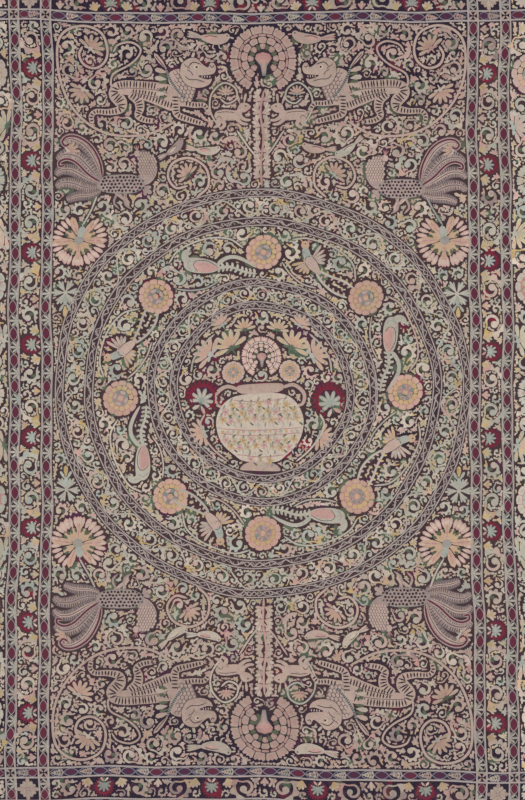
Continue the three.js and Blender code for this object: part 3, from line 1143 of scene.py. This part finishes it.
def flyingBird():  # a crested bird with both wings spread and a leafy tail
    tails = [[(-12, 0), (-26, 5), (-40, 12), (-52, 15)], [(-12, -4), (-26, -6), (-42, -4), (-56, 3)]]
    wing, farWing = [], []
    for i in range(5):
        colour = (1, thread["pink"], 1, thread["dusk"], 1)[i]
        wing.append(petal(19 - 1.6 * i, 4.2, colour, heart=0).moved(4 - i, 3, 78 + 17 * i))
        farWing.append(petal(17 - 1.4 * i, 4.2, 2 - i % 2, heart=1).moved(5 - i, -3, -62 - 17 * i))
    return together(
        *[stem([(x, y, 2.6) for x, y in path], 0, count=14) for path in tails], fringe(tails[0], 6, 120),
        fringe(tails[0], 6, -120, part=2), fringe(tails[1], 7, -120), *wing, *farWing,
        stem([(-13, -2, 6), (-5, -1, 11), (4, 0, 12), (10, 1, 9)], 1, 0.5, count=12).moved(up=0.15),
        stem([(6, 0, 8), (13, 3, 8.5), (18, 6, 6.5)], thread["mist"], 0.5, count=9).moved(up=0.3),
        knot(4.8, thread["peach"], 0.5).moved(20, 8, up=0.3),
        petal(5, 2.2, thread["ochre"], sides=6).moved(23, 8, 5),
        *[petal(5.4, 2, thread["rose"], sides=6).moved(20, 12, 50 + 32 * i) for i in range(3)],
        knot(0.8, ink, 0.2, 6).moved(21, 9, up=0.9), inkLine([(7, 4), (9, 0), (7, -4)], 0.6),
        inkLine([(-12, 2), (-2, 5), (6, 5)], 0.5), inkLine([(-12, -5), (-2, -6.5), (6, -5)], 0.5))


def peacock():  # spotted, with hatched plumes swept up behind and a scaled neck curling round in front
    plumes = [[(-22, 6, 3), (-27, 24, 9), (-38, 42, 11), (-54, 50, 10), (-66, 46, 5)],
              [(-24, 4, 3), (-34, 18, 10), (-46, 30, 11.5), (-60, 33, 10), (-69, 27, 5)],
              [(-24, 1, 3), (-38, 8, 10), (-52, 16, 11), (-64, 16, 9), (-70, 10, 5)],
              [(-24, -3, 3), (-38, -3, 9), (-52, 2, 10.5), (-64, 2, 8), (-70, -4, 5)],
              [(-22, -7, 3), (-34, -11, 8), (-48, -12, 9), (-60, -16, 6)]]
    sickles = [[(-21, 8), (-24, 26), (-33, 43), (-47, 52), (-59, 52), (-64, 46), (-60, 42), (-56, 45)],
               [(-23, 3), (-36, 12), (-48, 24), (-58, 28), (-66, 25), (-66, 20), (-61, 21)]]
    made = []
    for i, path in enumerate(plumes):
        barbs = [(x, y, w + 1) for x, y, w in path]
        made += [stem([(x, y, w + 2) for x, y, w in path], thread["shade"], 0.2, count=16),
                 crossLines(barbs, 1.9, 0.95, 0.9, (0, thread["blush"])[i % 2], 0.15).moved(up=-0.25)]
        for share, part, height, up in ((0.34, (1, thread["dusk"])[i % 2], 0.2, 0.45),
                                        (0.1, thread["shade"], 0.15, 0.65)):
            made.append(stem([(x, y, w * share) for x, y, w in path], part, height, count=16).moved(up=up))
    for path in sickles:
        for width, part, height, up in ((4.2, thread["dusk"], 0.2, 0.5), (1.9, thread["wine"], 0.3, 0.65)):
            made.append(stem([(x, y, width) for x, y in path], part, height, count=20).moved(up=up))
    body = [(-27, 0), (-19, 9), (0, 10.5), (16, 9), (25, 0), (16, -9), (-2, -10.5), (-20, -8)]
    spots = []
    for i in range(12):
        for j in range(5):
            if ((i - 5.4) / 6.6) ** 2 + ((j - 2) / 3) ** 2 < 1:
                spot = knot(1.25 + 0.35 * ((3 * i + 5 * j) % 4) / 3, ink, 0.1, 6)
                spots.append(spot.moved(-22 + 3.9 * i + (j % 2) * 1.9 + 0.5 * math.sin(7 * i + j),
                                        -7.4 + 3.7 * j + 0.4 * math.sin(4 * i - 3 * j), up=0.62))
    neck = [(16, 3, 9), (25, 7, 15), (29, 18, 18), (25, 29, 14), (18, 34, 7)]
    ruff = [(18 + 2.9 * i + 1.4 * (j % 2), 8 + 3 * j, 100) for j in range(9) for i in range(7)
            if ((i - 2.8) / 3.6) ** 2 + ((j - 3.8) / 4.9) ** 2 < 1]
    rim = [(0.96 * x, 0.96 * y) for x, y in body] + [(-26, 0)]
    legs = [[(-4, -9, 2.6), (-8, -20, 2.4), (-2, -27, 2)], [(6, -9, 2.6), (4, -21, 2.4), (12, -27, 2)]]
    return together(
        *made, stem(neck, 0, 0.4, count=14), scales(ruff, 3.4, 1), shape(body, 0),
        inkLine(rim, 0.6, part=thread["grey"]), *spots, knot(4, 1, 0.5).moved(17, 33),
        petal(6, 2.6, 2, sides=6).moved(14, 33, 200),
        *[petal(6, 1.6, thread["rose"], sides=6).moved(17, 36, 75 + 25 * i) for i in range(3)],
        *[petal(24 - 3 * i, 4.4, (1, 0)[i % 2]).moved(-10 + 6 * i, -8, -32 - 18 * i) for i in range(3)],
        *[stem(leg, 2, count=6) for leg in legs], leaf(3, 80).moved(22, -3, -30, 12))


def vase():  # a footed pot covered in small flowers
    belly = [(-17, 4), (-34, -4), (-43, -22), (-39, -42), (-25, -56), (-14, -62), (14, -62), (25, -56),
             (39, -42), (43, -22), (34, -4), (17, 4)]
    lip = [(-22, 12), (-17, 5), (17, 5), (22, 12), (12, 14), (-12, 14)]
    base = [(-20, -70), (-12, -63), (12, -63), (20, -70), (10, -71), (-10, -71)]
    made = [shape(belly, 0, count=48), shape(lip, 1), shape(base, 1)]
    for y, reach in ((-1, 26), (-29, 41), (-34, 40.5), (-55, 24)):
        made.append(inkLine([(-reach, y), (0, y - 2.5), (reach, y)], 0.8, 12, thread["rose"]))
    rows = ((0, -6, 30, 7), (1, -13, 37, 9), (0, -20.5, 40, 10), (1, -40.5, 38, 9), (0, -47, 33, 8),
            (1, -60, 14, 3))
    for row, y, reach, count in rows:
        for i in range(count):
            x = -reach + 2 * reach * (i + 0.5) / count
            bloom = petal(4.0, 2.9, thread[("ochre", "pink", "straw")[(i + row) % 3]], 0.2, 6)
            made.append(fan(bloom, 5, 360).moved(x, y + 1.2 * math.sin(5 * i), 20 * i, up=0.66))
            made.append(knot(1.1, thread["rose"], 0.2, 6).moved(x, y + 1.2 * math.sin(5 * i), up=0.95))
            for k, turn in enumerate((-40, 140, 60)):
                sprout = petal(4.8, 2.2, thread[("green", "mist", "grey")[(i + k) % 3]], 0.2, 6)
                turn -= 30 * (i % 3)
                made.append(sprout.moved(x + 2.6 - 2.6 * k, y - 2.8 + 2.8 * k, turn, up=0.62))
    for i in range(15):
        bead = knot(1.7, thread[("ochre", "pink", "mist")[i % 3]], 0.25, 6)
        made.append(bead.moved(-37 + 5.3 * i, -32.5, up=0.64))
    for side in (-1, 1):
        handle = [(20, 9, 3), (32, 12, 3.6), (42, 4, 3.6), (41, -6, 3), (34, -8, 2)]
        made.append(stem([(side * x, y, w) for x, y, w in handle], 1, count=14))
    return together(*made)


figures = {"beast": wingedBeast(), "hare": hare(), "bird": smallBird(), "bird2": smallBird("cream"),
           "dove": dove(), "flying": flyingBird(), "peacock": peacock(), "vase": vase()}
for motif in figures.values():
    covered(motif, 1.6)
for motif in flowers.values():
    covered(motif, 0.09)


def layFigure(motif, x, y, turn=0.0, size=1.0, flipX=False, flipY=False, gap=0.5, **wanted):
    px, py = x - chart["midX"], chart["midY"] - y
    figureWork.sew(motif, silks(px, py, **wanted), px, py, turn, size, flipX, flipY, gap=gap)


def layStem(points, width=1.9, mirror=False, down=False, **wanted):
    spots = []
    for x, y in points:
        x, y = (524 - x if mirror else x), (783 - y if down else y)
        spots.append((x - chart["midX"], chart["midY"] - y, width))
    figureWork.sew(stem(spots, 0, count=4 * len(spots)), silks(*spots[0][:2], **wanted), gap=0.8)


def makeFlowerBand():
    inner, outer = rings["flowerBand"]
    stems = ((((8, 146), (13, 158), (21, 163.5), (31, 164), (37, 158)), 1.7, 20),
             (((-8, 134), (-13, 124), (-20, 118), (-27, 119)), 1.5, 16))
    for degrees in (0, 42, 89, 138, 183, 229, 270, 312):
        x, y = onRing(degrees, 141)
        table = silks(x, y, "pink", "peach", "ochre")
        figureWork.sew(flowers["rosette"], table, x, y, degrees + 20, 17.5, gap=0.8)
        for spots, width, count in stems:
            path = [(*onRing(degrees + a, r), width) for a, r in spots]
            figureWork.sew(stem(path, 0, count=count), silks(x, y), gap=0.7)
    for degrees, kind in ((23, "dove"), (115, "dove"), (210, "dove"), (297, "dove"),
                          (69, "flying"), (163, "flying"), (250, "flying"), (338, "flying")):
        x, y = onRing(degrees, 140 if kind == "dove" else 141)
        table = silks(x, y, "sage", "sage" if kind == "dove" else "blush", "ochre")
        figureWork.sew(figures[kind], table, x, y, degrees + 64, 0.9, flipY=True, gap=0.9)

    def edge(x, y):
        r = ringRadius(x, y)
        return np.minimum(r - inner, outer - r) - 0.4

    box = (-174, 176, -172, 176)
    scatterPatches(box, edge, 150, {"green": 5, "moss": 2, "plum": 2, "wine": 1}, (4, 8))
    fillArea(ringWork, box, edge, (9.8, 8.8, 7.8, 6.6, 5.4, 4.4), scrolls + trailing + curls, 0.45, 0.85,
             lambda x, y: silks(x, y) * 1.03)
    print("flower band sewn")


def makeMiddle():
    layFigure(figures["vase"], 260, 398, size=1.02, main="cream", second="blush", accent="pink")
    layFigure(flowers["carnation"], 261, 357, size=20, main="pink", second="cream", accent="ochre")
    for x, y, kind, size, turn in ((233, 372, "rosette", 11, 0), (289, 372, "rosette", 11, 0),
                                   (231, 348, "open", 19, 30), (292, 348, "open", 19, -30),
                                   (245, 330, "open", 12, 12), (278, 330, "open", 12, -12)):
        layFigure(flowers[kind], x, y, turn, size, main="cream", second="pink", accent="ochre",
                  leaf="green")
    for x, y, size, turn in ((204, 397, 16.5, -20), (328, 400, 17, 20)):
        layFigure(medallion, x, y, turn, size, main="mist", leaf="mist", accent="cream")
    for x, y, size, turn in ((210, 354, 18, 60), (313, 356, 18, -60), (203, 432, 15, 110),
                             (320, 437, 15, -110), (222, 325, 12, 30), (300, 325, 12, -30)):
        layFigure(flowers["open"], x, y, turn, size, main="blush", second="pink", accent="peach",
                  leaf="mist")
    for flip in (False, True):
        layStem([(205, 414), (200, 424), (203, 436), (214, 450), (228, 461)], 1.8, mirror=flip)
        layStem([(192, 372), (194, 358), (203, 344), (214, 334)], 1.8, mirror=flip)

    def edge(x, y):
        return rings["disc"] - ringRadius(x, y) - 0.4

    box = (-86, 88, -86, 88)
    scatterPatches(box, edge, 60, {"crimson": 1, "wine": 2, "plum": 2, "green": 3}, (4, 9))
    fillArea(ringWork, box, edge, (8.8, 7.6, 6.4, 5.2, 4.2), scrolls + trailing + curls)
    print("middle sewn")


# A leaf that curls up beside a stem, with a row of narrow lobes along its outer edge.
lobes = [petal(0.66 - 0.04 * abs(i - 2), 0.3, i % 2, root=0.5).moved(0.08 + 0.1 * i, 0.04 * i, -44 + 28 * i)
         for i in range(5)]
sideLeaf = together(*lobes, stem([(0, 0, 0.16), (0.3, 0.0, 0.3), (0.5, 0.16, 0.24)], 0, count=5))
covered(sideLeaf, 0.09)


# One quarter's beast, hare, birds and flowers: it is mirrored to the right, and upside down at the foot.
def layQuarter(flip, down):
    def at(x, y):
        return (524 - x if flip else x), (783 - y if down else y)

    drift = 4 if flip else 0
    x, y = at(150, 97)
    layFigure(figures["beast"], x - drift, y, 0, 0.97, flip, down, main="blush", second="cream")
    layFigure(figures["hare"], *at(231, 113), 0, 0.9, flip, down, main="blush", second="pink")
    layFigure(figures["peacock"], *at(121, 184 + drift), 0, 0.93, flip, down, main="dusk", second="blush",
              accent="dusk", leaf="blush")
    for x, y, size, kind in ((212, 36, 1.0, "bird"), (174, 148, 0.75, "bird2"), (206, 149, 0.8, "bird")):
        layFigure(figures[kind], *at(x, y), -4 if kind == "bird" else 38, size, flip, down)
    spiral = [(176, 120), (150, 133), (120, 134), (95, 126), (75, 110), (62, 88), (56, 64), (58, 40),
              (69, 27), (86, 23), (101, 30), (107, 45), (105, 58), (95, 66), (83, 63), (78, 53), (82, 44)]
    innerSpiral = [(196, 196), (208, 184), (206, 166), (190, 156), (173, 161), (167, 175), (175, 186),
                   (187, 184)]
    layStem(spiral, 2.5, flip, down, main="blush")
    layStem(innerSpiral, 2.4, flip, down, main="blush")
    for path in ([(222, 128), (212, 110), (213, 92), (224, 80), (236, 85), (238, 96), (229, 101),
                  (222, 96)], [(238, 128), (250, 146), (262, 160)], [(96, 196), (90, 210), (81, 226)]):
        layStem(path, 1.8, flip, down)
    for x, y, size, turn in ((90, 46, 15, -35), (188, 173, 13, 40), (227, 91, 9, 0), (82, 88, 15, 150),
                             (68, 150, 12, -60)):
        layFigure(flowers["open"], *at(x, y), turn * (-1 if flip else 1), size, False, down, main="blush",
                  second="pink", accent="peach")
    layFigure(flowers["lotus"], *at(79, 240), 0, 31, flip, down, main="cream", second="pink",
              accent="peach", gap=0.2)
    layFigure(flowers["sprig"], *at(66, 293), 0, 23, False, down, main="mist", second="sage",
              accent="ochre")


def makeField():
    for down in (False, True):
        def at(y):
            return 783 - y if down else y

        layFigure(flowers["carnation"], 264, at(56), 0, 34, flipY=down, main="blush", second="pink")
        trunk = [(264, 88), (262, 110), (265, 135), (262, 160), (263, 186)]
        layStem(trunk, 2.2, down=down, main="pink")
        for i in range(7):
            for side in (-1, 1):
                turn = (38 if side > 0 else 142) * (-1 if down else 1)
                layFigure(sideLeaf, 263 + 0.8 * side, at(98 + 13 * i), turn, 12.5, flipY=(side < 0) != down,
                          main="blush", second="cream", gap=0.4)
        for flip in (False, True):
            layQuarter(flip, down)
    half, long = border["halfWidth"] - 0.6, border["halfLength"] - 0.6

    def edge(x, y):
        return np.minimum(np.minimum(half - abs(x), long - abs(y)), ringRadius(x, y) - 207)

    for y0, y1 in ((0, 373), (-373, 0)):
        box = (-209, 209, y0, y1)
        scatterPatches(box, edge, 190, {"green": 3, "moss": 4, "plum": 4, "wine": 1}, (4, 9))
    fillArea(fieldWork, (-209, 209, -374, 374), edge, (9.6, 8.6, 7.6, 6.6, 5.4, 4.4),
             scrolls + trailing + curls, 0.62, 0.9, closer=0.15)
    print("field sewn")


def makeWideBorder():
    inner, outer = border["wide"]
    middle = (inner + outer) / 2
    for side in sideTurn:
        half = halves(side)[1]
        count = 7 if side in ("left", "right") else 4
        pitch = 2 * half / count
        for i in range(count):
            u = -half + pitch * (i + 0.5)
            kind = "lotus" if i % 2 else "rosette"
            sewOnSide(edgeWork, side, flowers[kind], paler, u, inner + 23, 0, 21, gap=0.8)
        for i in range(3 * count + 3):
            u = -half - pitch / 2 + pitch * (i // 3) + pitch * (0.29, 0.5, 0.71)[i % 3]
            flip = i % 2 == 0
            if abs(u) < half - 12 and i % 3 == 1:
                sewOnSide(edgeWork, side, flowers["open"], paler, u, inner + 4, 14 if flip else -14, 17,
                          gap=0.8)
            elif abs(u) < half - 12:
                sewOnSide(edgeWork, side, scrolls[i % 5], paler, u, inner + 12.5, 60 * i, 10.0, flipY=flip,
                          gap=0.8)
    wide, long = border["halfWidth"], border["halfLength"]
    for sx in (-1, 1):
        for sy in (-1, 1):
            x, y = sx * (wide + middle), sy * (long + middle)
            edgeWork.sew(flowers["rosette"], silks(x, y), x, y, 0, 22, gap=0.8)
            edgeWork.sew(cross, silks(x, y), x, y, 45, 0.1, gap=0.8)  # the last small stitches in its heart

    def edge(x, y):
        px, py = abs(x) - wide, abs(y) - long
        out = np.maximum(px, py)
        free = np.minimum(out - inner, outer - out)
        for a in (0, border["middleGuard"]):
            for p in (px, py):
                free = np.minimum(free, np.maximum(a - p, p - a - border["guard"]))
        return free - 0.4

    x0, y0 = wide + inner, long + inner
    x1, y1 = wide + outer + 6.0, long + outer + 6.0
    for box in ((-x1, -x0 + 2, -y1, y1), (x0 - 2, x1, -y1, y1),
                (-x0, x0, y0 - 2, y1), (-x0, x0, -y1, -y0 + 2)):
        scatterPatches(box, edge, 100, {"green": 4, "moss": 2, "plum": 3, "crimson": 2}, (4, 10))
        fillArea(edgeWork, box, edge, (13.5, 12.0, 10.4, 8.8, 7.2, 5.6),
                 scrolls + trailing + curls + leaves, 0.45, 0.9, paler)
    print("wide border sewn")


makeFlowerBand()
makeMiddle()
makeField()
makeWideBorder()

# The cloth itself is one closed sheet, with a hem turned on to its face.
ground = {"cell": 15.5, "edgeLines": (0, 1.2, 3.5, 8, 11.5, 13.6, 15.4, 20)}


def clothLines(size):
    edge, half = np.array(ground["edgeLines"], float), size / 2
    inner = half - edge[-1]
    count = int(2 * inner / ground["cell"])
    return np.concatenate((edge - half, np.linspace(-inner, inner, count + 1)[1:-1], (half - edge)[::-1]))


# The faces of a grid of points, of its copy underneath, and of the rim between them.
def closedFaces(rows, columns):
    grid = np.arange(rows * columns).reshape(rows, columns)
    top = np.stack((grid[:-1, :-1], grid[:-1, 1:], grid[1:, 1:], grid[1:, :-1]), -1).reshape(-1, 4)
    rim = np.concatenate((grid[0, :-1], grid[:-1, -1], grid[-1, :0:-1], grid[:0:-1, 0]))
    ahead = np.roll(rim, -1)
    walls = np.stack((ahead, rim, rim + grid.size, ahead + grid.size), -1)
    return np.vstack((top, top[:, [0, 3, 2, 1]] + grid.size, walls))


def makeCloth(material):
    x, y = np.meshgrid(clothLines(sheetWidth), clothLines(sheetLength))
    faces = closedFaces(*x.shape)
    x, y = x.ravel(), y.ravel()
    inward = np.minimum(sheetWidth / 2 - abs(x), sheetLength / 2 - abs(y))
    fold = np.clip(inward / 3.5, 0, 1) ** 0.5 * np.clip((15.0 - inward) / 1.5, 0, 1)
    thickness = plan["clothThickness"] * np.where(inward < 0.5, 0.6, 1)
    height = thickness + plan["hemRise"] * fold + cockled(x, y)
    placed = laidOut(np.tile(x, 2), np.tile(y, 2), np.concatenate((height, 0 * height)))
    mesh = bpy.data.meshes.new("groundCloth")
    mesh.from_pydata(placed.tolist(), [], faces.tolist())
    mesh.polygons.foreach_set("use_smooth", np.ones(len(mesh.polygons), bool))
    mesh.materials.append(material)
    mesh.update()
    piece = bpy.data.objects.new("groundCloth", mesh)
    bpy.context.collection.objects.link(piece)
    print("groundCloth", 2 * len(mesh.polygons), "triangles")
    return piece


# Running stitches that hold the hem.
def sewHem():
    hem = {"every": 2.7, "in": 12.2, "length": 2.1, "width": 0.62}
    stitch = petal(hem["length"], hem["width"], thread["cream"], 0.35, 6, 0.9)
    for side in sideTurn:
        v = (margin - hem["in"]) / chart["step"]
        reach = halves(side)[1] + v
        count = int(2 * reach / hem["every"])
        for i in range(count):
            u = -reach + 2 * reach * (i + 0.5) / count
            sewOnSide(edgeWork, side, stitch, plain, u - 1, v + dice.uniform(-0.15, 0.15),
                      dice.uniform(-5, 5), up=plan["hemRise"] - 0.15)


sewHem()


# A shader socket that can be used in sums.
class Wire:
    def __init__(self, bench, socket):
        self.bench, self.socket = bench, socket

    def to(self, operation, *others):
        inputs = dict(enumerate((self, *others)))
        return self.bench.node("ShaderNodeMath", {"operation": operation}, inputs)

    def __add__(self, other):
        return self.to("ADD", other)

    def __sub__(self, other):
        return self.to("SUBTRACT", other)

    def __mul__(self, other):
        return self.to("MULTIPLY", other)

    def __rsub__(self, other):
        return self.bench.node("ShaderNodeMath", {"operation": "SUBTRACT"}, {0: other, 1: self})

    __radd__, __rmul__ = __add__, __mul__

    def between(self, low, high):  # 0 at low, 1 at high, held there beyond
        return self.bench.node("ShaderNodeMapRange", {"interpolation_type": "SMOOTHSTEP"},
                               {"Value": self, "From Min": low, "From Max": high})


class Bench:  # where a material is put together
    def __init__(self, name):
        self.material = bpy.data.materials.new(name)
        self.material.use_nodes = True
        self.tree = self.material.node_tree
        self.shader = self.tree.nodes["Principled BSDF"]

    def node(self, kind, settings=None, inputs=None, out=0):
        made = self.tree.nodes.new(kind)
        for name, value in (settings or {}).items():
            setattr(made, name, value)
        for name, value in (inputs or {}).items():
            self.plug(made.inputs[name], value)
        return Wire(self, made.outputs[out])

    def plug(self, socket, value):
        if isinstance(value, Wire):
            self.tree.links.new(value.socket, socket)
        else:
            socket.default_value = value

    def colour(self, name):
        return (*linear(threadColours.get(name, name)), 1)

    def mixed(self, factor, a, b):
        made = self.tree.nodes.new("ShaderNodeMix")
        made.data_type = "RGBA"
        for i, value in ((0, factor), (6, a), (7, b)):
            self.plug(made.inputs[i], value)
        return Wire(self, made.outputs[2])

    def shaded(self, colour, factor):  # a colour made lighter or darker
        colour = colour[:3] if isinstance(colour, tuple) else colour
        return self.node("ShaderNodeVectorMath", {"operation": "SCALE"}, {0: colour, "Scale": factor})

    def noise(self, place, scale, detail=3.0, rough=0.55):
        return self.node("ShaderNodeTexNoise", {}, {"Vector": place, "Scale": scale, "Detail": detail,
                                                    "Roughness": rough}, "Fac")

    def place(self):
        return self.node("ShaderNodeTexCoord", {}, {}, "Object")

    def parts(self, vector):
        split = self.tree.nodes.new("ShaderNodeSeparateXYZ")
        self.plug(split.inputs[0], vector)
        return [Wire(self, s) for s in split.outputs]

    def finish(self, base, roughness, height, bump, plainValues):
        self.plug(self.shader.inputs["Base Color"], base)
        self.plug(self.shader.inputs["Roughness"], roughness)
        relief = {"Strength": bump[0], "Distance": bump[1], "Height": height}
        self.plug(self.shader.inputs["Normal"], self.node("ShaderNodeBump", {}, relief))
        for name, value in plainValues.items():
            self.shader.inputs[name].default_value = value
        return self.material


# groove sets how much painted shade darkens the silk colour in the low grooves between stitch rows and loops
silkLook = {"row": 0.0015, "loop": 0.0024, "worn": 0.45, "paintedGrooveShade": 0.14, "bump": 0.5, "sheen": 0.25}


def stitchedSilk(name, row, loop, worn):
    bench = Bench(name)
    tone = bench.node("ShaderNodeAttribute", {"attribute_name": "thread"}, {}, "Color")
    run, across, _ = bench.parts(bench.node("ShaderNodeUVMap", {"uv_map": "stitch"}, {}))
    place = bench.place()
    rows = (across * (2 * math.pi / row)).to("COSINE") * 0.5 + 0.5
    loops = (run * (2 * math.pi / loop) + rows * 2.0).to("SINE") * 0.5 + 0.5
    relief = rows * 0.6 + loops * 0.4
    dye, fibres = bench.noise(place, 26, 4), bench.noise(place, 420, 3)
    wear = bench.noise(place, 61, 5, 0.7)
    # The thread colour carries painted shade where the stitch relief is low, and dye and fibre noise on top.
    base = bench.shaded(tone, relief * silkLook["paintedGrooveShade"] + dye * 0.3 + fibres * 0.4 + 0.57)
    red, greenish, blueish = bench.parts(tone)
    light = (red * 0.3 + greenish * 0.6 + blueish * 0.1).between(0.1, 0.4)
    hue, speck = bench.noise(place, 34, 3, 0.6), bench.noise(place, 190, 3, 0.65)
    # Pink, straw and grey drift over the light silks: where, how much, the colour, and how light it is.
    for spread, share, colour, vary, lightness in (
            (hue.between(0.52, 0.7), 0.4, "blush", 0.4, 0.8),
            ((1 - hue).between(0.54, 0.7), 0.35, "straw", 0.4, 0.75),
            (speck.between(0.53, 0.68), 0.5, "straw", 0.5, 0.8),
            ((1 - speck).between(0.54, 0.68), 0.45, "dusk", 0.4, 0.6)):
        drifted = bench.shaded(bench.colour(colour), dye * vary + lightness)
        base = bench.mixed(spread * light * share, base, drifted)
    fade = bench.noise(place, 5.5, 2).between(0.4, 0.7)
    base = bench.mixed(fade * light * 0.2, base, bench.colour((172, 160, 148)))
    bare = (wear * 0.6 + fibres * 0.4).between(0.535, 0.66) * worn
    base = bench.shaded(base, 1 - bare)
    return bench.finish(base, 0.5 + fibres * 0.3 + bare * 0.2, relief + fibres * 0.5,
                        (silkLook["bump"], 0.0005),
                        {"Sheen Weight": silkLook["sheen"], "Sheen Roughness": 0.5,
                         "Specular IOR Level": 0.25})


clothLook = {"thread": 0.00095, "night": (32, 17, 40), "aubergine": (66, 45, 49), "faded": (96, 84, 84)}


def wornSatin(name):
    bench = Bench(name)
    place = bench.place()
    x, y, z = bench.parts(place)
    turn = 2 * math.pi / clothLook["thread"]
    warp, weft = (x * turn).to("SINE") * 0.5 + 0.5, (y * turn).to("SINE") * 0.5 + 0.5
    weave = warp * 0.6 + weft * 0.4
    drift, blot = bench.noise(place, 3.2, 3), bench.noise(place, 19, 4)
    fibres = bench.noise(place, 330, 4, 0.7)
    ends = y.to("ABSOLUTE").between(0.75, 1.3)
    dark = bench.mixed((drift * 0.7 + ends * 0.35).between(0.3, 0.62), bench.colour(clothLook["aubergine"]),
                       bench.colour(clothLook["night"]))
    dark = bench.shaded(dark, weave * 0.16 + blot * 0.4 + 0.72)
    base = bench.mixed(fibres.between(0.5, 0.72) * 0.42, dark, bench.colour(clothLook["faded"]))
    return bench.finish(base, 0.62 + fibres * 0.25, weave + fibres * 0.4, (0.4, 0.0004),
                        {"Sheen Weight": 0.15, "Sheen Roughness": 0.5, "Specular IOR Level": 0.2})


silk = stitchedSilk("chainStitchedSilk", silkLook["row"], silkLook["loop"], silkLook["worn"])
couched = stitchedSilk("couchedCord", 0.0011, 0.0017, 0.3)
satin = wornSatin("wornSatin")

cloth = makeCloth(satin)
needlework = [w.made(couched if w is lineWork else silk)
              for w in (patchWork, fieldWork, ringWork, figureWork, borderWork, edgeWork, lineWork)]
for piece in [cloth] + needlework:
    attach(piece, "root")
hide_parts("cloth")
print("cloth and needlework placed")


light = {"sky": 0.62, "sun": 1.5, "soft": 35, "tilt": (28, -22)}


def makeFloor():
    bm = bmesh.new()
    bmesh.ops.create_grid(bm, x_segments=8, y_segments=8, size=9)
    for v in bm.verts:
        v.co.z = -0.0006
    mesh = bpy.data.meshes.new("floor")
    bm.to_mesh(mesh)
    bm.free()
    bench = Bench("paleFloor")
    speck = bench.noise(bench.place(), 60, 4)
    base = bench.shaded(bench.colour((226, 224, 220)), speck * 0.06 + 0.96)
    mesh.materials.append(bench.finish(base, 0.8, speck, (0.1, 0.0005), {}))
    floor = bpy.data.objects.new("floor", mesh)
    bpy.context.collection.objects.link(floor)


def makeLight():
    sun = bpy.data.lights.new("sun", "SUN")
    sun.energy, sun.angle = light["sun"], math.radians(light["soft"])
    holder = bpy.data.objects.new("sun", sun)
    holder.rotation_euler = [math.radians(a) for a in (*light["tilt"], 0)]
    bpy.context.collection.objects.link(holder)
    world = bpy.data.worlds.new("studio")
    world.use_nodes = True
    sky = world.node_tree.nodes["Background"]
    sky.inputs["Color"].default_value = (1, 1, 1, 1)
    sky.inputs["Strength"].default_value = light["sky"]
    bpy.context.scene.world = world
    bpy.context.scene.view_settings.view_transform = "Standard"


makeFloor()
makeLight()
for name in ("Cube", "Light", "Camera"):
    if name in bpy.data.objects:
        bpy.data.objects.remove(bpy.data.objects[name])
